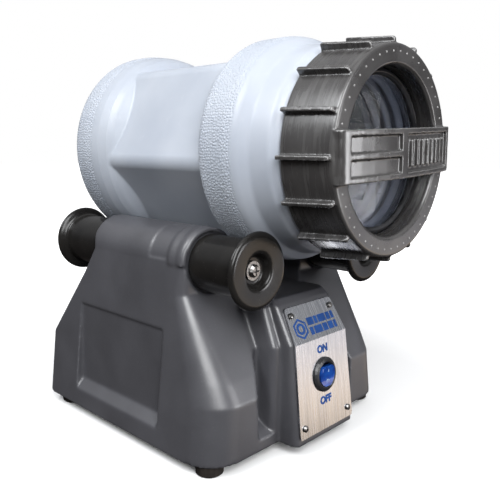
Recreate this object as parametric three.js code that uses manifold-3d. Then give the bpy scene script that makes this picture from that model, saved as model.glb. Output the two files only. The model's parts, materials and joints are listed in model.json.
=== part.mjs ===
// A bench-top rotary tumbler: a hexagonal drum lies on four flanged rollers, and a geared motor in the base
// turns one pair of them through a belt. The drum opens at the front by a screw-on collar that holds a clear lens.
// Millimetres, +Z up, the front towards -Y. The drum, the rollers and their shafts all turn about lines along Y.
import * as THREE from "three";
import { mergeVertices } from "three/addons/utils/BufferGeometryUtils.js";
import Module from "manifold-3d";

const wasm = await Module();
wasm.setup();

// ---- Driving dimensions ----------------------------------------------------------------------------------
const GAP = 0.3; // between pieces that rest on each other
const WALL = 3; // moulded wall of the base

const FOOT_HEIGHT = 8;
const FOOT_RADIUS = 10;
const FOOT_X = 86;
const FOOT_Y = 84;

const BASE_HALF_WIDTH = 100;
const BASE_HALF_DEPTH = 100;
const BASE_CORNER = 25; // front corner radius at the skirt
const BASE_REAR_CORNER = 5;
const SKIRT_FRONT_TOP = 46; // height where the front starts to lean back
const SKIRT_REAR_TOP = 60;
const SLOPE_TOP = 115; // height where the slopes meet the upright end walls
const SIDE_DRAFT = 0.11; // how far a side wall leans in per millimetre of height
const SHOULDER_FRONT = 60; // distance of a shoulder's front end from the middle
const SHOULDER_REAR = 48;
const END_RECESS = 2.5; // the rollers start inside a shallow round recess in each shoulder's end
const END_RECESS_RADIUS = 21.2;
const SHOULDER_RADIUS = 24;
const CRADLE_FLOOR = 106; // top of the base between the shoulders

const ROLLER_X = 62;
const ROLLER_Z = 135;
const TREAD_RADIUS = 19.8;
const FLANGE_RADIUS = 26;
const FLANGE_WIDTH = 6.5;
const FLANGE_FRONT = 98.8; // distance of a front roller's flange from the middle
const FLANGE_REAR = 93;
const SHAFT_RADIUS = 4;
const RUNNING_CLEARANCE = 0.2;

const DRUM_Z = 210;
const DRUM_RADIUS = 77.2; // of the two textured rims
const DRUM_REST_TURN = 7; // degrees that the drum has rolled, its left side down
const COLLAR_REST_TURN = 4.5; // degrees that the collar is tightened back from there
const DRUM_WALL = 3;
const HEX_APOTHEM = 63.6;
const HEX_EDGE_RADIUS = 11;
const LINER_WALL = 2.5;
const DRUM_REAR = 88;
const NECK_RADIUS = 61.5;
const NECK_LIP = -142;

const THREAD_PITCH = 7;
const THREAD_TURNS = 1.5;
const THREAD_HEIGHT = 2;

const COLLAR_REAR = -124;
const COLLAR_FRONT = -161.5;
const COLLAR_RADIUS = 67.4;
const COLLAR_BORE = 64.6;
const COLLAR_WINDOW = 52.5;
const RIB_COUNT = 16;
const RIB_HEIGHT = 4.6;
const RIB_WIDTH = 2.6;

const HANDLE_FRONT = -172;
const HANDLE_HALF_LENGTH = 66;
const HANDLE_HEIGHT = 30;
const HANDLE_THICKNESS = 4.6;

const MOTOR_X = 44;
const MOTOR_Z = 50;
const DRIVEN_PULLEY_RADIUS = 17;
const MOTOR_PULLEY_RADIUS = 7;
const BELT_THICKNESS = 1.6;
const BELT_WIDTH = 7;
const BELT_Y = 30;

const PLATE_THICKNESS = 1.2;
const SWITCH_Z = 52;
const SWITCH_BEZEL_RADIUS = 12.5;
const SWITCH_BODY_RADIUS = 10;

// ---- Materials -------------------------------------------------------------------------------------------
const finish = (color, roughness, metalness = 0, extra = {}) =>
  new THREE.MeshStandardMaterial({ color, roughness, metalness, ...extra });
const housingPlastic = finish(0x4a4b50, 0.45);
const drumPlastic = finish(0xd3d6dc, 0.4);
const collarPlastic = finish(0x504d4b, 0.5);
const rollerPlastic = finish(0x151413, 0.25);
const blackRubber = finish(0x1b1a1a, 0.8);
const blackPlastic = finish(0x1c1c1e, 0.35);
const brushedMetal = finish(0xc4c3c4, 0.35, 1);
const steel = finish(0xb8babd, 0.3, 1);
const bronze = finish(0xa9743a, 0.4, 1);
const clearPlastic = finish(0xdfe8ee, 0.05, 0, { transparent: true, opacity: 0.3 });
const bluePlastic = finish(0x1746c8, 0.15);
const motorPaint = finish(0x2b2d30, 0.5, 0.6);
const pulleyPlastic = finish(0xe7e4da, 0.5);

// ---- Solids ----------------------------------------------------------------------------------------------
// A closed geometry as a solid that can be joined and cut.
function solid(geometry) {
  const bare = geometry.index ? geometry.toNonIndexed() : geometry.clone();
  bare.deleteAttribute("normal");
  bare.deleteAttribute("uv");
  const merged = mergeVertices(bare, 1e-4);
  const triangles = [];
  for (let i = 0; i < merged.index.count; i += 3) {
    const [a, b, c] = merged.index.array.slice(i, i + 3);
    if (a !== b && b !== c && c !== a) {
      triangles.push(a, b, c);
    }
  }
  return new wasm.Manifold(
    new wasm.Mesh({
      numProp: 3,
      vertProperties: merged.attributes.position.array,
      triVerts: new Uint32Array(triangles),
    }),
  );
}

// A solid as a named mesh, without the points that its flat faces can spare.
function piece(name, body, material) {
  const mesh = body.asOriginal().simplify(0.01).getMesh();
  const geometry = new THREE.BufferGeometry();
  geometry.setAttribute("position", new THREE.BufferAttribute(mesh.vertProperties, 3));
  geometry.setIndex(new THREE.BufferAttribute(mesh.triVerts, 1));
  const made = new THREE.Mesh(geometry, material);
  made.name = name;
  return made;
}

// A profile of [radius, y] turned about the Y axis. Its outer side runs towards +Y; it closes on itself.
const turned = (profile, segments = 24) =>
  solid(new THREE.LatheGeometry([...profile, profile[0]].map(([r, y]) => new THREE.Vector2(r, y)), segments));

const rod = (radius, y0, y1, segments = 24) => turned([[0, y0], [radius, y0], [radius, y1], [0, y1]], segments);

// The same upright, from z0 to z1.
const post = (radius, z0, z1, segments = 24) => rod(radius, z0, z1, segments).rotate([90, 0, 0]);

const box = (x0, x1, y0, y1, z0, z1) =>
  solid(
    new THREE.BoxGeometry(x1 - x0, y1 - y0, z1 - z0).translate((x0 + x1) / 2, (y0 + y1) / 2, (z0 + z1) / 2),
  );

// An outline in X and Z, drawn out along Y.
const alongY = (shape, y0, y1, curveSegments = 12) =>
  solid(
    new THREE.ExtrudeGeometry(shape, { depth: y1 - y0, bevelEnabled: false, curveSegments })
      .rotateX(Math.PI / 2)
      .translate(0, y1, 0),
  );

// An outline in Y and Z, drawn out along X.
const yzToX = new THREE.Matrix4().makeBasis(
  new THREE.Vector3(0, 1, 0),
  new THREE.Vector3(0, 0, 1),
  new THREE.Vector3(1, 0, 0),
);
const alongX = (shape, x0, x1, curveSegments = 12) =>
  solid(
    new THREE.ExtrudeGeometry(shape, { depth: x1 - x0, bevelEnabled: false, curveSegments })
      .applyMatrix4(yzToX)
      .translate(x0, 0, 0),
  );

// An outline in X and Y, drawn up along Z.
const alongZ = (shape, z0, z1, curveSegments = 12) =>
  solid(
    new THREE.ExtrudeGeometry(shape, { depth: z1 - z0, bevelEnabled: false, curveSegments }).translate(0, 0, z0),
  );

const polygon = (points) => new THREE.Shape(points.map(([x, y]) => new THREE.Vector2(x, y)));

// A closed skin over rings of points, each ring as long as the next, with a flat fan over each end.
function loft(rings) {
  const positions = rings.flat().flatMap((p) => [p.x, p.y, p.z]);
  const count = rings[0].length;
  const index = [];
  for (let k = 0; k + 1 < rings.length; k++) {
    for (let i = 0; i < count; i++) {
      const a = k * count + i;
      const b = k * count + ((i + 1) % count);
      index.push(a, b, b + count, a, b + count, a + count);
    }
  }
  const last = (rings.length - 1) * count;
  for (let i = 1; i + 1 < count; i++) {
    index.push(0, i + 1, i, last, last + i, last + i + 1);
  }
  const geometry = new THREE.BufferGeometry();
  geometry.setAttribute("position", new THREE.Float32BufferAttribute(positions, 3));
  geometry.setIndex(index);
  return solid(geometry);
}

// A ring at height z around a rectangle with round corners.
function rectangleRing(halfWidth, yFront, yRear, corner, z, perCorner = 5, rearCorner = corner) {
  const corners = [
    [halfWidth - rearCorner, yRear - rearCorner, rearCorner],
    [rearCorner - halfWidth, yRear - rearCorner, rearCorner],
    [corner - halfWidth, yFront + corner, corner],
    [halfWidth - corner, yFront + corner, corner],
  ];
  return corners.flatMap(([x, y, radius], quarter) =>
    Array.from({ length: perCorner + 1 }, (_, i) => {
      const angle = ((quarter + i / perCorner) * Math.PI) / 2;
      return new THREE.Vector3(x + radius * Math.cos(angle), y + radius * Math.sin(angle), z);
    }),
  );
}

// Like turned(), but a radius may be a function of the angle about the axis.
function shapedTurn(profile, segments) {
  const positions = [];
  const index = [];
  for (const [radius, y] of profile) {
    for (let i = 0; i < segments; i++) {
      const angle = (i / segments) * 2 * Math.PI;
      const r = typeof radius === "function" ? radius(angle) : radius;
      positions.push(r * Math.sin(angle), y, r * Math.cos(angle));
    }
  }
  for (let k = 0; k + 1 < profile.length; k++) {
    for (let i = 0; i < segments; i++) {
      const a = k * segments + i;
      const b = k * segments + ((i + 1) % segments);
      index.push(a, b, b + segments, a, b + segments, a + segments);
    }
  }
  const geometry = new THREE.BufferGeometry();
  geometry.setAttribute("position", new THREE.Float32BufferAttribute(positions, 3));
  geometry.setIndex(index);
  return solid(geometry);
}

// A right-handed helical ridge about Y from y0 towards +Y, fading in and out at its ends.
function threadRidge(rootRadius, crestRadius, rootWidth, crestWidth, y0, turns) {
  const perTurn = 24;
  const steps = perTurn * turns;
  const fade = 3;
  const rings = [];
  for (let i = 0; i <= steps; i++) {
    const share = Math.min(1, (Math.min(i, steps - i) + 0.2) / fade);
    const angle = (i / perTurn) * 2 * Math.PI;
    const y = y0 + (i / perTurn) * THREAD_PITCH;
    const crest = rootRadius + (crestRadius - rootRadius) * share;
    const corners = [
      [rootRadius, -rootWidth / 2],
      [crest, -crestWidth / 2],
      [crest, crestWidth / 2],
      [rootRadius, rootWidth / 2],
    ];
    rings.push(
      corners.map(([r, dy]) => new THREE.Vector3(r * Math.sin(angle), y + dy, r * Math.cos(angle))),
    );
  }
  return loft(crestRadius > rootRadius ? rings.map((ring) => ring.slice().reverse()) : rings);
}

const union = (...bodies) => bodies.reduce((a, b) => a.add(b));
const cut = (body, ...tools) => tools.reduce((a, b) => a.subtract(b), body);
const mirrored = (body) => body.mirror([1, 0, 0]);

// ---- Base ------------------------------------------------------------------------------------------------
// The base's outline as lofted rectangles, brought in by inset all round.
function baseBlock(inset) {
  const halfWidth = (z) => BASE_HALF_WIDTH - SIDE_DRAFT * (Math.min(z, ROLLER_Z) - FOOT_HEIGHT) - inset;
  const smallest = 2;
  const rearCorner = Math.max(BASE_REAR_CORNER - inset, smallest);
  const section = (z, front, rear, corner) =>
    rectangleRing(halfWidth(z), -front + inset, rear - inset, Math.max(corner - inset, smallest), z, 5, rearCorner);
  return loft([
    section(FOOT_HEIGHT - (inset > 0 ? 1 : 0), BASE_HALF_DEPTH, BASE_HALF_DEPTH, BASE_CORNER),
    section(SKIRT_FRONT_TOP, BASE_HALF_DEPTH - 1.5, BASE_HALF_DEPTH, BASE_CORNER),
    section(SKIRT_REAR_TOP, 91.5, BASE_HALF_DEPTH, BASE_CORNER - 3),
    section(SLOPE_TOP, SHOULDER_FRONT, SHOULDER_REAR + 12, 8),
    section(ROLLER_Z, SHOULDER_FRONT, SHOULDER_REAR, 6),
    section(ROLLER_Z + 40, SHOULDER_FRONT, SHOULDER_REAR, 6),
  ]);
}

// The outline seen from the front: two round shoulders with the drum's cradle between them.
function frontOutline(inset) {
  const radius = SHOULDER_RADIUS - inset;
  const floor = CRADLE_FLOOR - inset;
  const shape = new THREE.Shape();
  shape.moveTo(0, 0);
  shape.lineTo(BASE_HALF_WIDTH + 5, 0);
  shape.lineTo(BASE_HALF_WIDTH + 5, ROLLER_Z);
  shape.lineTo(ROLLER_X + radius, ROLLER_Z);
  shape.absarc(ROLLER_X, ROLLER_Z, radius, 0, Math.PI, false);
  shape.lineTo(ROLLER_X - radius - 3, floor + 12);
  shape.quadraticCurveTo(ROLLER_X - radius - 6, floor, ROLLER_X - radius - 16, floor);
  shape.lineTo(0, floor);
  const right = alongY(shape, -130, 130, 8);
  return right.add(mirrored(right));
}

// The raised lip at the front of each shoulder, and the shallow panel behind it.
function shoulderTrim(x) {
  const lip = turned(
    [
      [SHOULDER_RADIUS - 4, 0.5],
      [SHOULDER_RADIUS - 1, 0.5],
      [SHOULDER_RADIUS + 1, 2],
      [SHOULDER_RADIUS + 1.2, 5],
      [SHOULDER_RADIUS + 0.4, 9],
      [SHOULDER_RADIUS + 1, 15],
      [SHOULDER_RADIUS - 0.2, 18],
      [SHOULDER_RADIUS - 4, 18],
    ],
    40,
  ).translate([x, -SHOULDER_FRONT, ROLLER_Z]);
  const outside = box(x < 0 ? x - 40 : x, x < 0 ? x : x + 40, -70, 0, ROLLER_Z, ROLLER_Z + 40);
  return lip.intersect(outside);
}

function shoulderPanel(x) {
  const ring = cut(rod(SHOULDER_RADIUS + 3, -42, -22, 40), rod(SHOULDER_RADIUS - 0.8, -43, -21, 40));
  const outside = box(x < 0 ? x - 40 : x, x < 0 ? x : x + 40, -70, 0, ROLLER_Z + 2, ROLLER_Z + 40);
  return ring.translate([x, 0, ROLLER_Z]).intersect(outside);
}

// The console that carries the face plate, as [height, half width, front].
const CONSOLE = [
  [FOOT_HEIGHT, 34, -116.5],
  [79, 33, -107.8],
  [104, 31.5, -93],
];
// The plainer block that it stands on.
const PLINTH = [
  [FOOT_HEIGHT, 41, -100],
  [77, 40, -99],
  [103, 38, -87],
];
// Either of them, brought in by inset all round and closed by a bevelled top.
function frontBlock(sections, inset) {
  const [topZ, topHalfWidth, topFront] = sections[sections.length - 1];
  const below = inset > 0 ? 1 : 0; // an inner block reaches out of the bottom
  const ring = (halfWidth, front, z) =>
    rectangleRing(halfWidth - inset, front + inset, -40, 5 - inset / 2, z, 4);
  const rings = sections.map(([z, halfWidth, front], i) => ring(halfWidth, front, i === 0 ? z - below : z));
  return loft([...rings, ring(topHalfWidth - 2, topFront + 4, topZ + 4 - inset)]);
}

// Hollows pressed into the outside; grow makes the same shape larger by the wall, to keep the wall's thickness.
function sidePocket(grow) {
  const shape = polygon([
    [-110 - grow, 12 - grow],
    [-98.6, 21 - grow],
    [-91.6 + grow, 28.5 - grow],
    [-89.8 + grow, 90 + grow],
    [-110 - grow, 90 + grow],
  ]);
  return alongY(shape, -43 - grow, 59 + grow);
}
function frontPocket(grow) {
  const outline = polygon([
    [-30 + grow, 12 - grow],
    [-30 + grow, 80 + grow],
    [-43 - grow, 80 + grow],
    [-45 - grow, 72],
    [-50 - grow, 58],
    [-55 - grow, 44],
    [-54 - grow, 12 - grow],
  ]);
  const depth = polygon([
    [-106 - grow, 13 - grow],
    [-85 + grow, 24 - grow],
    [-83 + grow, 80 + grow],
    [-106 - grow, 80 + grow],
  ]);
  return alongY(outline, -120, -50).intersect(alongX(depth, -90, 0));
}

const PLATE_TOP = FOOT_HEIGHT + 2.6; // inner face of the bottom plate
const SCREW_PILOT = 1.9;
const BOSS_TOP = 40; // of the posts that the foot screws bite into
const WEB_HALF = 1.5;
const footPlaces = [-1, 1].flatMap((sx) => [-1, 1].map((sy) => [sx * FOOT_X, sy * FOOT_Y]));
const GLAND = { x: -58, z: 27, radius: 6 };
// How far forward the console reaches at a height, and how far it leans back there, in degrees.
const consoleStretch = (z) => CONSOLE.slice(z <= CONSOLE[1][0] ? 0 : 1);
function consoleFront(z) {
  const [a, b] = consoleStretch(z);
  return a[2] + ((b[2] - a[2]) * (z - a[0])) / (b[0] - a[0]);
}
function consoleLean(z) {
  const [a, b] = consoleStretch(z);
  return THREE.MathUtils.radToDeg(Math.atan2(b[2] - a[2], b[0] - a[0]));
}
// Puts a solid made about the Y axis on the console's front at [x, z], square to it there.
const onConsole = (body, [x, z]) => body.rotate([-consoleLean(z), 0, 0]).translate([x, consoleFront(z), z]);
const SWITCH_PLACE = [0, SWITCH_Z];
const plateScrewPlaces = [
  [-25.5, 20],
  [25.5, 20],
  [-22.5, 96],
  [22.5, 96],
];

function baseHousing() {
  const outside = cut(
    union(baseBlock(0).intersect(frontOutline(0)), shoulderTrim(-ROLLER_X), shoulderTrim(ROLLER_X)),
    sidePocket(0),
    mirrored(sidePocket(0)),
    frontPocket(0),
    mirrored(frontPocket(0)),
    shoulderPanel(-ROLLER_X),
    shoulderPanel(ROLLER_X),
  ).add(union(frontBlock(PLINTH, 0), frontBlock(CONSOLE, 0)));
  const endWall = END_RECESS + WALL; // thicker than elsewhere, for the recess in it
  const inside = cut(
    baseBlock(WALL).intersect(frontOutline(WALL)),
    sidePocket(WALL),
    mirrored(sidePocket(WALL)),
    frontPocket(WALL),
    mirrored(frontPocket(WALL)),
    box(-120, 120, -SHOULDER_FRONT, -SHOULDER_FRONT + endWall, SLOPE_TOP, 170),
    box(-120, 120, SHOULDER_REAR - endWall, SHOULDER_REAR + 8, SLOPE_TOP, 170),
  ).add(union(frontBlock(PLINTH, WALL), frontBlock(CONSOLE, WALL)));
  const posts = (radius, z0, sides) =>
    union(...footPlaces.map(([x, y]) => post(radius, z0, BOSS_TOP, sides).translate([x, y, 0])));
  // A web ties each post to the side wall. It starts out longer, and the outline trims it.
  const webs = footPlaces.map(([x, y]) => {
    const past = x * 1.2;
    return box(Math.min(x, past), Math.max(x, past), y - WEB_HALF, y + WEB_HALF, PLATE_TOP + GAP, BOSS_TOP);
  });
  const bosses = union(posts(5, PLATE_TOP + GAP, 12), ...webs).intersect(outside);
  const pilots = posts(SCREW_PILOT, 5, 8);
  const axleHoles = union(
    rod(BUSH_RADIUS + GAP, -70, 70),
    rod(END_RECESS_RADIUS, -80, -SHOULDER_FRONT + END_RECESS, 32),
    rod(END_RECESS_RADIUS, SHOULDER_REAR - END_RECESS, 80, 32),
  ).translate([ROLLER_X, 0, ROLLER_Z]);
  const glandHole = rod(GLAND.radius + GAP, 90, 110, 16).translate([GLAND.x, 0, GLAND.z]);
  return cut(
    outside.subtract(inside).add(bosses),
    pilots,
    axleHoles,
    mirrored(axleHoles),
    glandHole,
    onConsole(rod(SWITCH_BODY_RADIUS + GAP, -10, 10), SWITCH_PLACE),
    ...plateScrewPlaces.map((place) => onConsole(rod(1.25, -1, 8, 8), place)),
  );
}

function bottomPlate() {
  const inset = WALL + 0.8;
  const depth = BASE_HALF_DEPTH - inset;
  const ring = (z) => rectangleRing(BASE_HALF_WIDTH - inset, -depth, depth, BASE_CORNER - inset, z, 5, 2);
  const slots = [];
  for (let i = -2; i <= 2; i++) {
    slots.push(box(-70, -30, i * 10 - 2, i * 10 + 2, 0, 20), box(26, 66, i * 10 - 42, i * 10 - 38, 0, 20));
  }
  return cut(
    loft([ring(FOOT_HEIGHT), ring(PLATE_TOP)]),
    ...slots,
    ...footPlaces.map(([x, y]) => post(SCREW_PILOT + 0.5, 0, 20, 12).translate([x, y, 0])),
    ...BRACKET_SCREWS.map(([x, y]) => post(1.9, 0, 20, 12).translate([x, y, 0])),
  );
}

function foot() {
  return turned(
    [
      [SCREW_PILOT + 0.5, FOOT_HEIGHT - GAP],
      [SCREW_PILOT + 0.5, 4.4],
      [5, 4.4],
      [5, 0],
      [FOOT_RADIUS - 1.8, 0],
      [FOOT_RADIUS - 0.6, 1],
      [FOOT_RADIUS, FOOT_HEIGHT - GAP],
    ],
    18,
  );
}

// A pan-head screw along Y: the head's face at y 0, its shank towards +Y.
function panScrew(headRadius, headHeight, shankRadius, shankLength, segments = 8) {
  const slotHalf = headRadius * 0.14;
  const body = turned(
    [
      [0, 0],
      [headRadius * 0.7, 0],
      [headRadius, headHeight * 0.5],
      [headRadius, headHeight],
      [shankRadius, headHeight],
      [shankRadius, headHeight + shankLength],
      [0, headHeight + shankLength],
    ],
    segments,
  );
  const arm = headRadius * 0.62;
  const depth = headHeight * 0.6;
  return cut(
    body,
    box(-arm, arm, -1, depth, -slotHalf, slotHalf),
    box(-slotHalf, slotHalf, -1, depth, -arm, arm),
  );
}

// ---- Face plate and switch -------------------------------------------------------------------------------
// The plate follows the console's front: [height, half width] from the bottom corner, over the bend, to the top.
const PLATE = [
  [13, 31],
  [79, 29.5],
  [102, 27],
];
function facePlate() {
  const back = PLATE.map(([z]) => [consoleFront(z) - GAP, z]);
  const front = PLATE.map(([z]) => [consoleFront(z) - GAP - PLATE_THICKNESS, z]).reverse();
  const sheet = alongX(polygon([...back, ...front].reverse()), -40, 40);
  const [low, mid, high] = PLATE;
  const corner = 3.5;
  const outline = new THREE.Shape();
  outline.moveTo(-low[1] + corner, low[0] - 1);
  outline.lineTo(low[1] - corner, low[0] - 1);
  outline.quadraticCurveTo(low[1], low[0] - 1, low[1], low[0] + corner);
  outline.lineTo(mid[1], mid[0]);
  outline.lineTo(high[1], high[0] - corner);
  outline.quadraticCurveTo(high[1], high[0], high[1] - corner, high[0]);
  outline.lineTo(-high[1] + corner, high[0]);
  outline.quadraticCurveTo(-high[1], high[0], -high[1], high[0] - corner);
  outline.lineTo(-mid[1], mid[0]);
  outline.lineTo(-low[1], low[0] + corner);
  outline.quadraticCurveTo(-low[1], low[0] - 1, -low[1] + corner, low[0] - 1);
  return cut(
    sheet.intersect(alongY(outline, -130, -60, 5)),
    onConsole(rod(SWITCH_BODY_RADIUS + GAP, -10, 10), SWITCH_PLACE),
    ...plateScrewPlaces.map((place) => onConsole(rod(1.6, -6, 6, 12), place)),
  );
}

const ROCKER_RADIUS = 8.4;
function switchBezel() {
  const face = -GAP - PLATE_THICKNESS - GAP;
  const body = turned(
    [
      [ROCKER_RADIUS + 0.5, face - 2.2],
      [ROCKER_RADIUS + 1.4, face - 2.6],
      [SWITCH_BEZEL_RADIUS - 1.2, face - 2],
      [SWITCH_BEZEL_RADIUS, face - 0.8],
      [SWITCH_BEZEL_RADIUS, face],
      [SWITCH_BODY_RADIUS, face],
      [SWITCH_BODY_RADIUS, 16],
      [0, 16],
      [0, 4.5],
      [ROCKER_RADIUS + 0.5, 4.5],
    ],
    28,
  );
  const terminals = [-5, 0, 5].map((z) => box(-2.4, 2.4, 15, 24, z - 0.4, z + 0.4));
  return union(body, ...terminals);
}

// The rocker rests with its lower half pressed in, and turns about a line along X.
const ROCKER_TILT = 9; // degrees either side of level
function switchRocker() {
  const profile = new THREE.Shape();
  profile.moveTo(-3.6, -ROCKER_RADIUS + 0.6);
  profile.quadraticCurveTo(-1.8, 0, -3.6, ROCKER_RADIUS - 0.6);
  profile.lineTo(2.2, ROCKER_RADIUS - 2.6);
  profile.lineTo(2.2, -ROCKER_RADIUS + 2.6);
  return alongX(profile, -12, 12, 10).intersect(
    turned(
      [
        [0, -6],
        [ROCKER_RADIUS - 0.7, -6],
        [ROCKER_RADIUS - 0.1, -3],
        [ROCKER_RADIUS - 0.1, 0],
        [ROCKER_RADIUS - 2, 3],
        [0, 3],
      ],
      32,
    ),
  );
}

// ---- Rollers ---------------------------------------------------------------------------------------------
const RECESS_DEPTH = 7;
const RECESS_RADIUS = 12;
const treadStart = (shoulderEnd) => shoulderEnd - END_RECESS + 1;
const hubFace = (flangeStart) => flangeStart + FLANGE_WIDTH - RECESS_DEPTH;

// A flanged roller about Y, its flange towards +Y.
function roller(shoulderEnd, flangeStart) {
  const start = treadStart(shoulderEnd);
  const face = flangeStart + FLANGE_WIDTH;
  const hub = hubFace(flangeStart);
  const bore = SHAFT_RADIUS + RUNNING_CLEARANCE;
  return turned(
    [
      [bore, start],
      [TREAD_RADIUS - 1.2, start],
      [TREAD_RADIUS, start + 1.2],
      [TREAD_RADIUS, flangeStart - 1],
      [TREAD_RADIUS + 1.2, flangeStart + 0.6],
      [FLANGE_RADIUS - 1.6, flangeStart + 2],
      [FLANGE_RADIUS, flangeStart + 3.6],
      [FLANGE_RADIUS - 0.8, flangeStart + 5.5],
      [FLANGE_RADIUS - 3, face],
      [RECESS_RADIUS + 1, face - 0.7],
      [RECESS_RADIUS - 0.6, face - 1.6],
      [RECESS_RADIUS - 2.4, hub],
      [bore, hub],
    ],
    24,
  );
}

const SHAFT_SET_BACK = 1.2; // of a shaft's end from the hub's face
function shaft() {
  const front = -hubFace(FLANGE_FRONT) + SHAFT_SET_BACK;
  const rear = hubFace(FLANGE_REAR) - SHAFT_SET_BACK;
  const pilot = 1.9;
  const depth = 14;
  return turned(
    [
      [0, front + depth],
      [pilot, front + depth],
      [pilot, front],
      [SHAFT_RADIUS - 0.5, front],
      [SHAFT_RADIUS, front + 0.5],
      [SHAFT_RADIUS, rear - 0.5],
      [SHAFT_RADIUS - 0.5, rear],
      [pilot, rear],
      [pilot, rear - depth],
      [0, rear - depth],
    ],
    16,
  );
}

const BUSH_RADIUS = 7;
// A flanged bush in the shoulder's end wall, its flange inside the wall.
function bush(shoulderEnd) {
  const bore = SHAFT_RADIUS + RUNNING_CLEARANCE;
  const wallInside = shoulderEnd - END_RECESS - WALL;
  return turned(
    [
      [bore, wallInside - 3],
      [BUSH_RADIUS + 3, wallInside - 3],
      [BUSH_RADIUS + 3, wallInside - GAP],
      [BUSH_RADIUS, wallInside - GAP],
      [BUSH_RADIUS, wallInside + WALL],
      [bore, wallInside + WALL],
    ],
    16,
  );
}

// The screw and washer that hold a roller on, with the shank towards -Y from the hub's face.
function rollerScrew(flangeStart) {
  const washer = rod(6.4, 2.4, 3.6, 16);
  const screw = panScrew(4.4, 3, 1.6, 11, 12).add(washer);
  return screw.mirror([0, 1, 0]).translate([0, hubFace(flangeStart) + GAP + 3.6, 0]);
}

// ---- Drive -----------------------------------------------------------------------------------------------
function pulley(radius, hubRadius, boreRadius) {
  const half = BELT_WIDTH / 2;
  const rim = radius + 1.6;
  return turned(
    [
      [boreRadius, -half - 1.8],
      [rim, -half - 1.8],
      [rim, -half - 0.6],
      [radius, -half - 0.4],
      [radius, half + 0.4],
      [rim, half + 0.6],
      [rim, half + 1.8],
      [hubRadius, half + 1.8],
      [hubRadius, half + 5],
      [boreRadius, half + 5],
    ],
    radius > 10 ? 28 : 16,
  ).translate([0, BELT_Y, 0]);
}

// The belt's path round the two pulleys: the outline at a distance beyond both pulley radii.
function beltOutline(offset) {
  const dx = MOTOR_X - ROLLER_X;
  const dz = MOTOR_Z - ROLLER_Z;
  const distance = Math.hypot(dx, dz);
  const big = DRIVEN_PULLEY_RADIUS + offset;
  const small = MOTOR_PULLEY_RADIUS + offset;
  const direction = Math.atan2(dz, dx);
  const wrap = Math.acos((big - small) / distance);
  const shape = new THREE.Shape();
  shape.absarc(ROLLER_X, ROLLER_Z, big, direction + wrap, direction - wrap + 2 * Math.PI, false);
  shape.absarc(MOTOR_X, MOTOR_Z, small, direction - wrap, direction + wrap, false);
  shape.closePath();
  return shape;
}
const belt = () => {
  const band = (offset, grow) =>
    alongY(beltOutline(offset), BELT_Y - BELT_WIDTH / 2 - grow, BELT_Y + BELT_WIDTH / 2 + grow, 10);
  return cut(band(GAP + BELT_THICKNESS, 0), band(GAP, 1));
};

const BRACKET_Y = 17;
const BRACKET_SCREWS = [
  [MOTOR_X - 24, BRACKET_Y + 12],
  [MOTOR_X + 24, BRACKET_Y + 12],
];
const FACE_SCREWS = [
  [MOTOR_X - 17, MOTOR_Z + 17],
  [MOTOR_X + 17, MOTOR_Z - 17],
];
function motorBracket() {
  const low = PLATE_TOP + GAP;
  const face = new THREE.Shape();
  face.moveTo(MOTOR_X - 32, low);
  face.lineTo(MOTOR_X + 32, low);
  face.lineTo(MOTOR_X + 27, MOTOR_Z + 12);
  face.absarc(MOTOR_X, MOTOR_Z, 27, 0.45, Math.PI - 0.45, false);
  return cut(
    union(
      alongY(face, BRACKET_Y, BRACKET_Y + 2, 10),
      box(MOTOR_X - 32, MOTOR_X + 32, BRACKET_Y, BRACKET_Y + 20, low, low + 2),
    ),
    rod(9.4, 0, 60, 20).translate([MOTOR_X, 0, MOTOR_Z]),
    ...FACE_SCREWS.map(([x, z]) => rod(2, 0, 60, 10).translate([x, 0, z])),
    ...BRACKET_SCREWS.map(([x, y]) => post(2, 0, 30, 10).translate([x, y, 0])),
  );
}

const MOTOR_REAR = -44; // end of the can away from the gearbox
const GEARBOX_START = -4;
function motorCan() {
  return turned(
    [
      [5, MOTOR_REAR],
      [18, MOTOR_REAR],
      [22, MOTOR_REAR + 2],
      [23, MOTOR_REAR + 5],
      [23, GEARBOX_START - GAP],
      [8, GEARBOX_START - GAP],
      [8, GEARBOX_START - 4],
      [5, GEARBOX_START - 4],
    ],
    24,
  );
}

function gearbox() {
  const face = BRACKET_Y - GAP;
  const body = turned(
    [
      [4, GEARBOX_START],
      [25.5, GEARBOX_START],
      [26, GEARBOX_START + 1],
      [26, face],
      [9, face],
      [9, face + 4.5],
      [4, face + 4.5],
    ],
    24,
  );
  return cut(
    body,
    ...FACE_SCREWS.map(([x, z]) => rod(1.7, face - 10, face + 1, 10).translate([x - MOTOR_X, 0, z - MOTOR_Z])),
  );
}

const ROTOR_RADIUS = 2.4;
const rotorShaft = () => rod(ROTOR_RADIUS, MOTOR_REAR - 14, GEARBOX_START - 10, 16);

const SPINDLE_RADIUS = 3;
const outputSpindle = () => rod(SPINDLE_RADIUS, GEARBOX_START + 4, BELT_Y + 9, 16);

function coolingFan() {
  const hub = turned(
    [
      [ROTOR_RADIUS + RUNNING_CLEARANCE, MOTOR_REAR - 13],
      [6, MOTOR_REAR - 13],
      [6, MOTOR_REAR - 3],
      [ROTOR_RADIUS + RUNNING_CLEARANCE, MOTOR_REAR - 3],
    ],
    20,
  );
  const blade = box(-0.8, 0.8, MOTOR_REAR - 11, MOTOR_REAR - 4, 5, 20);
  const blades = Array.from({ length: 7 }, (_, i) => blade.rotate([0, (i * 360) / 7, 0]));
  return union(hub, ...blades);
}

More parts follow.
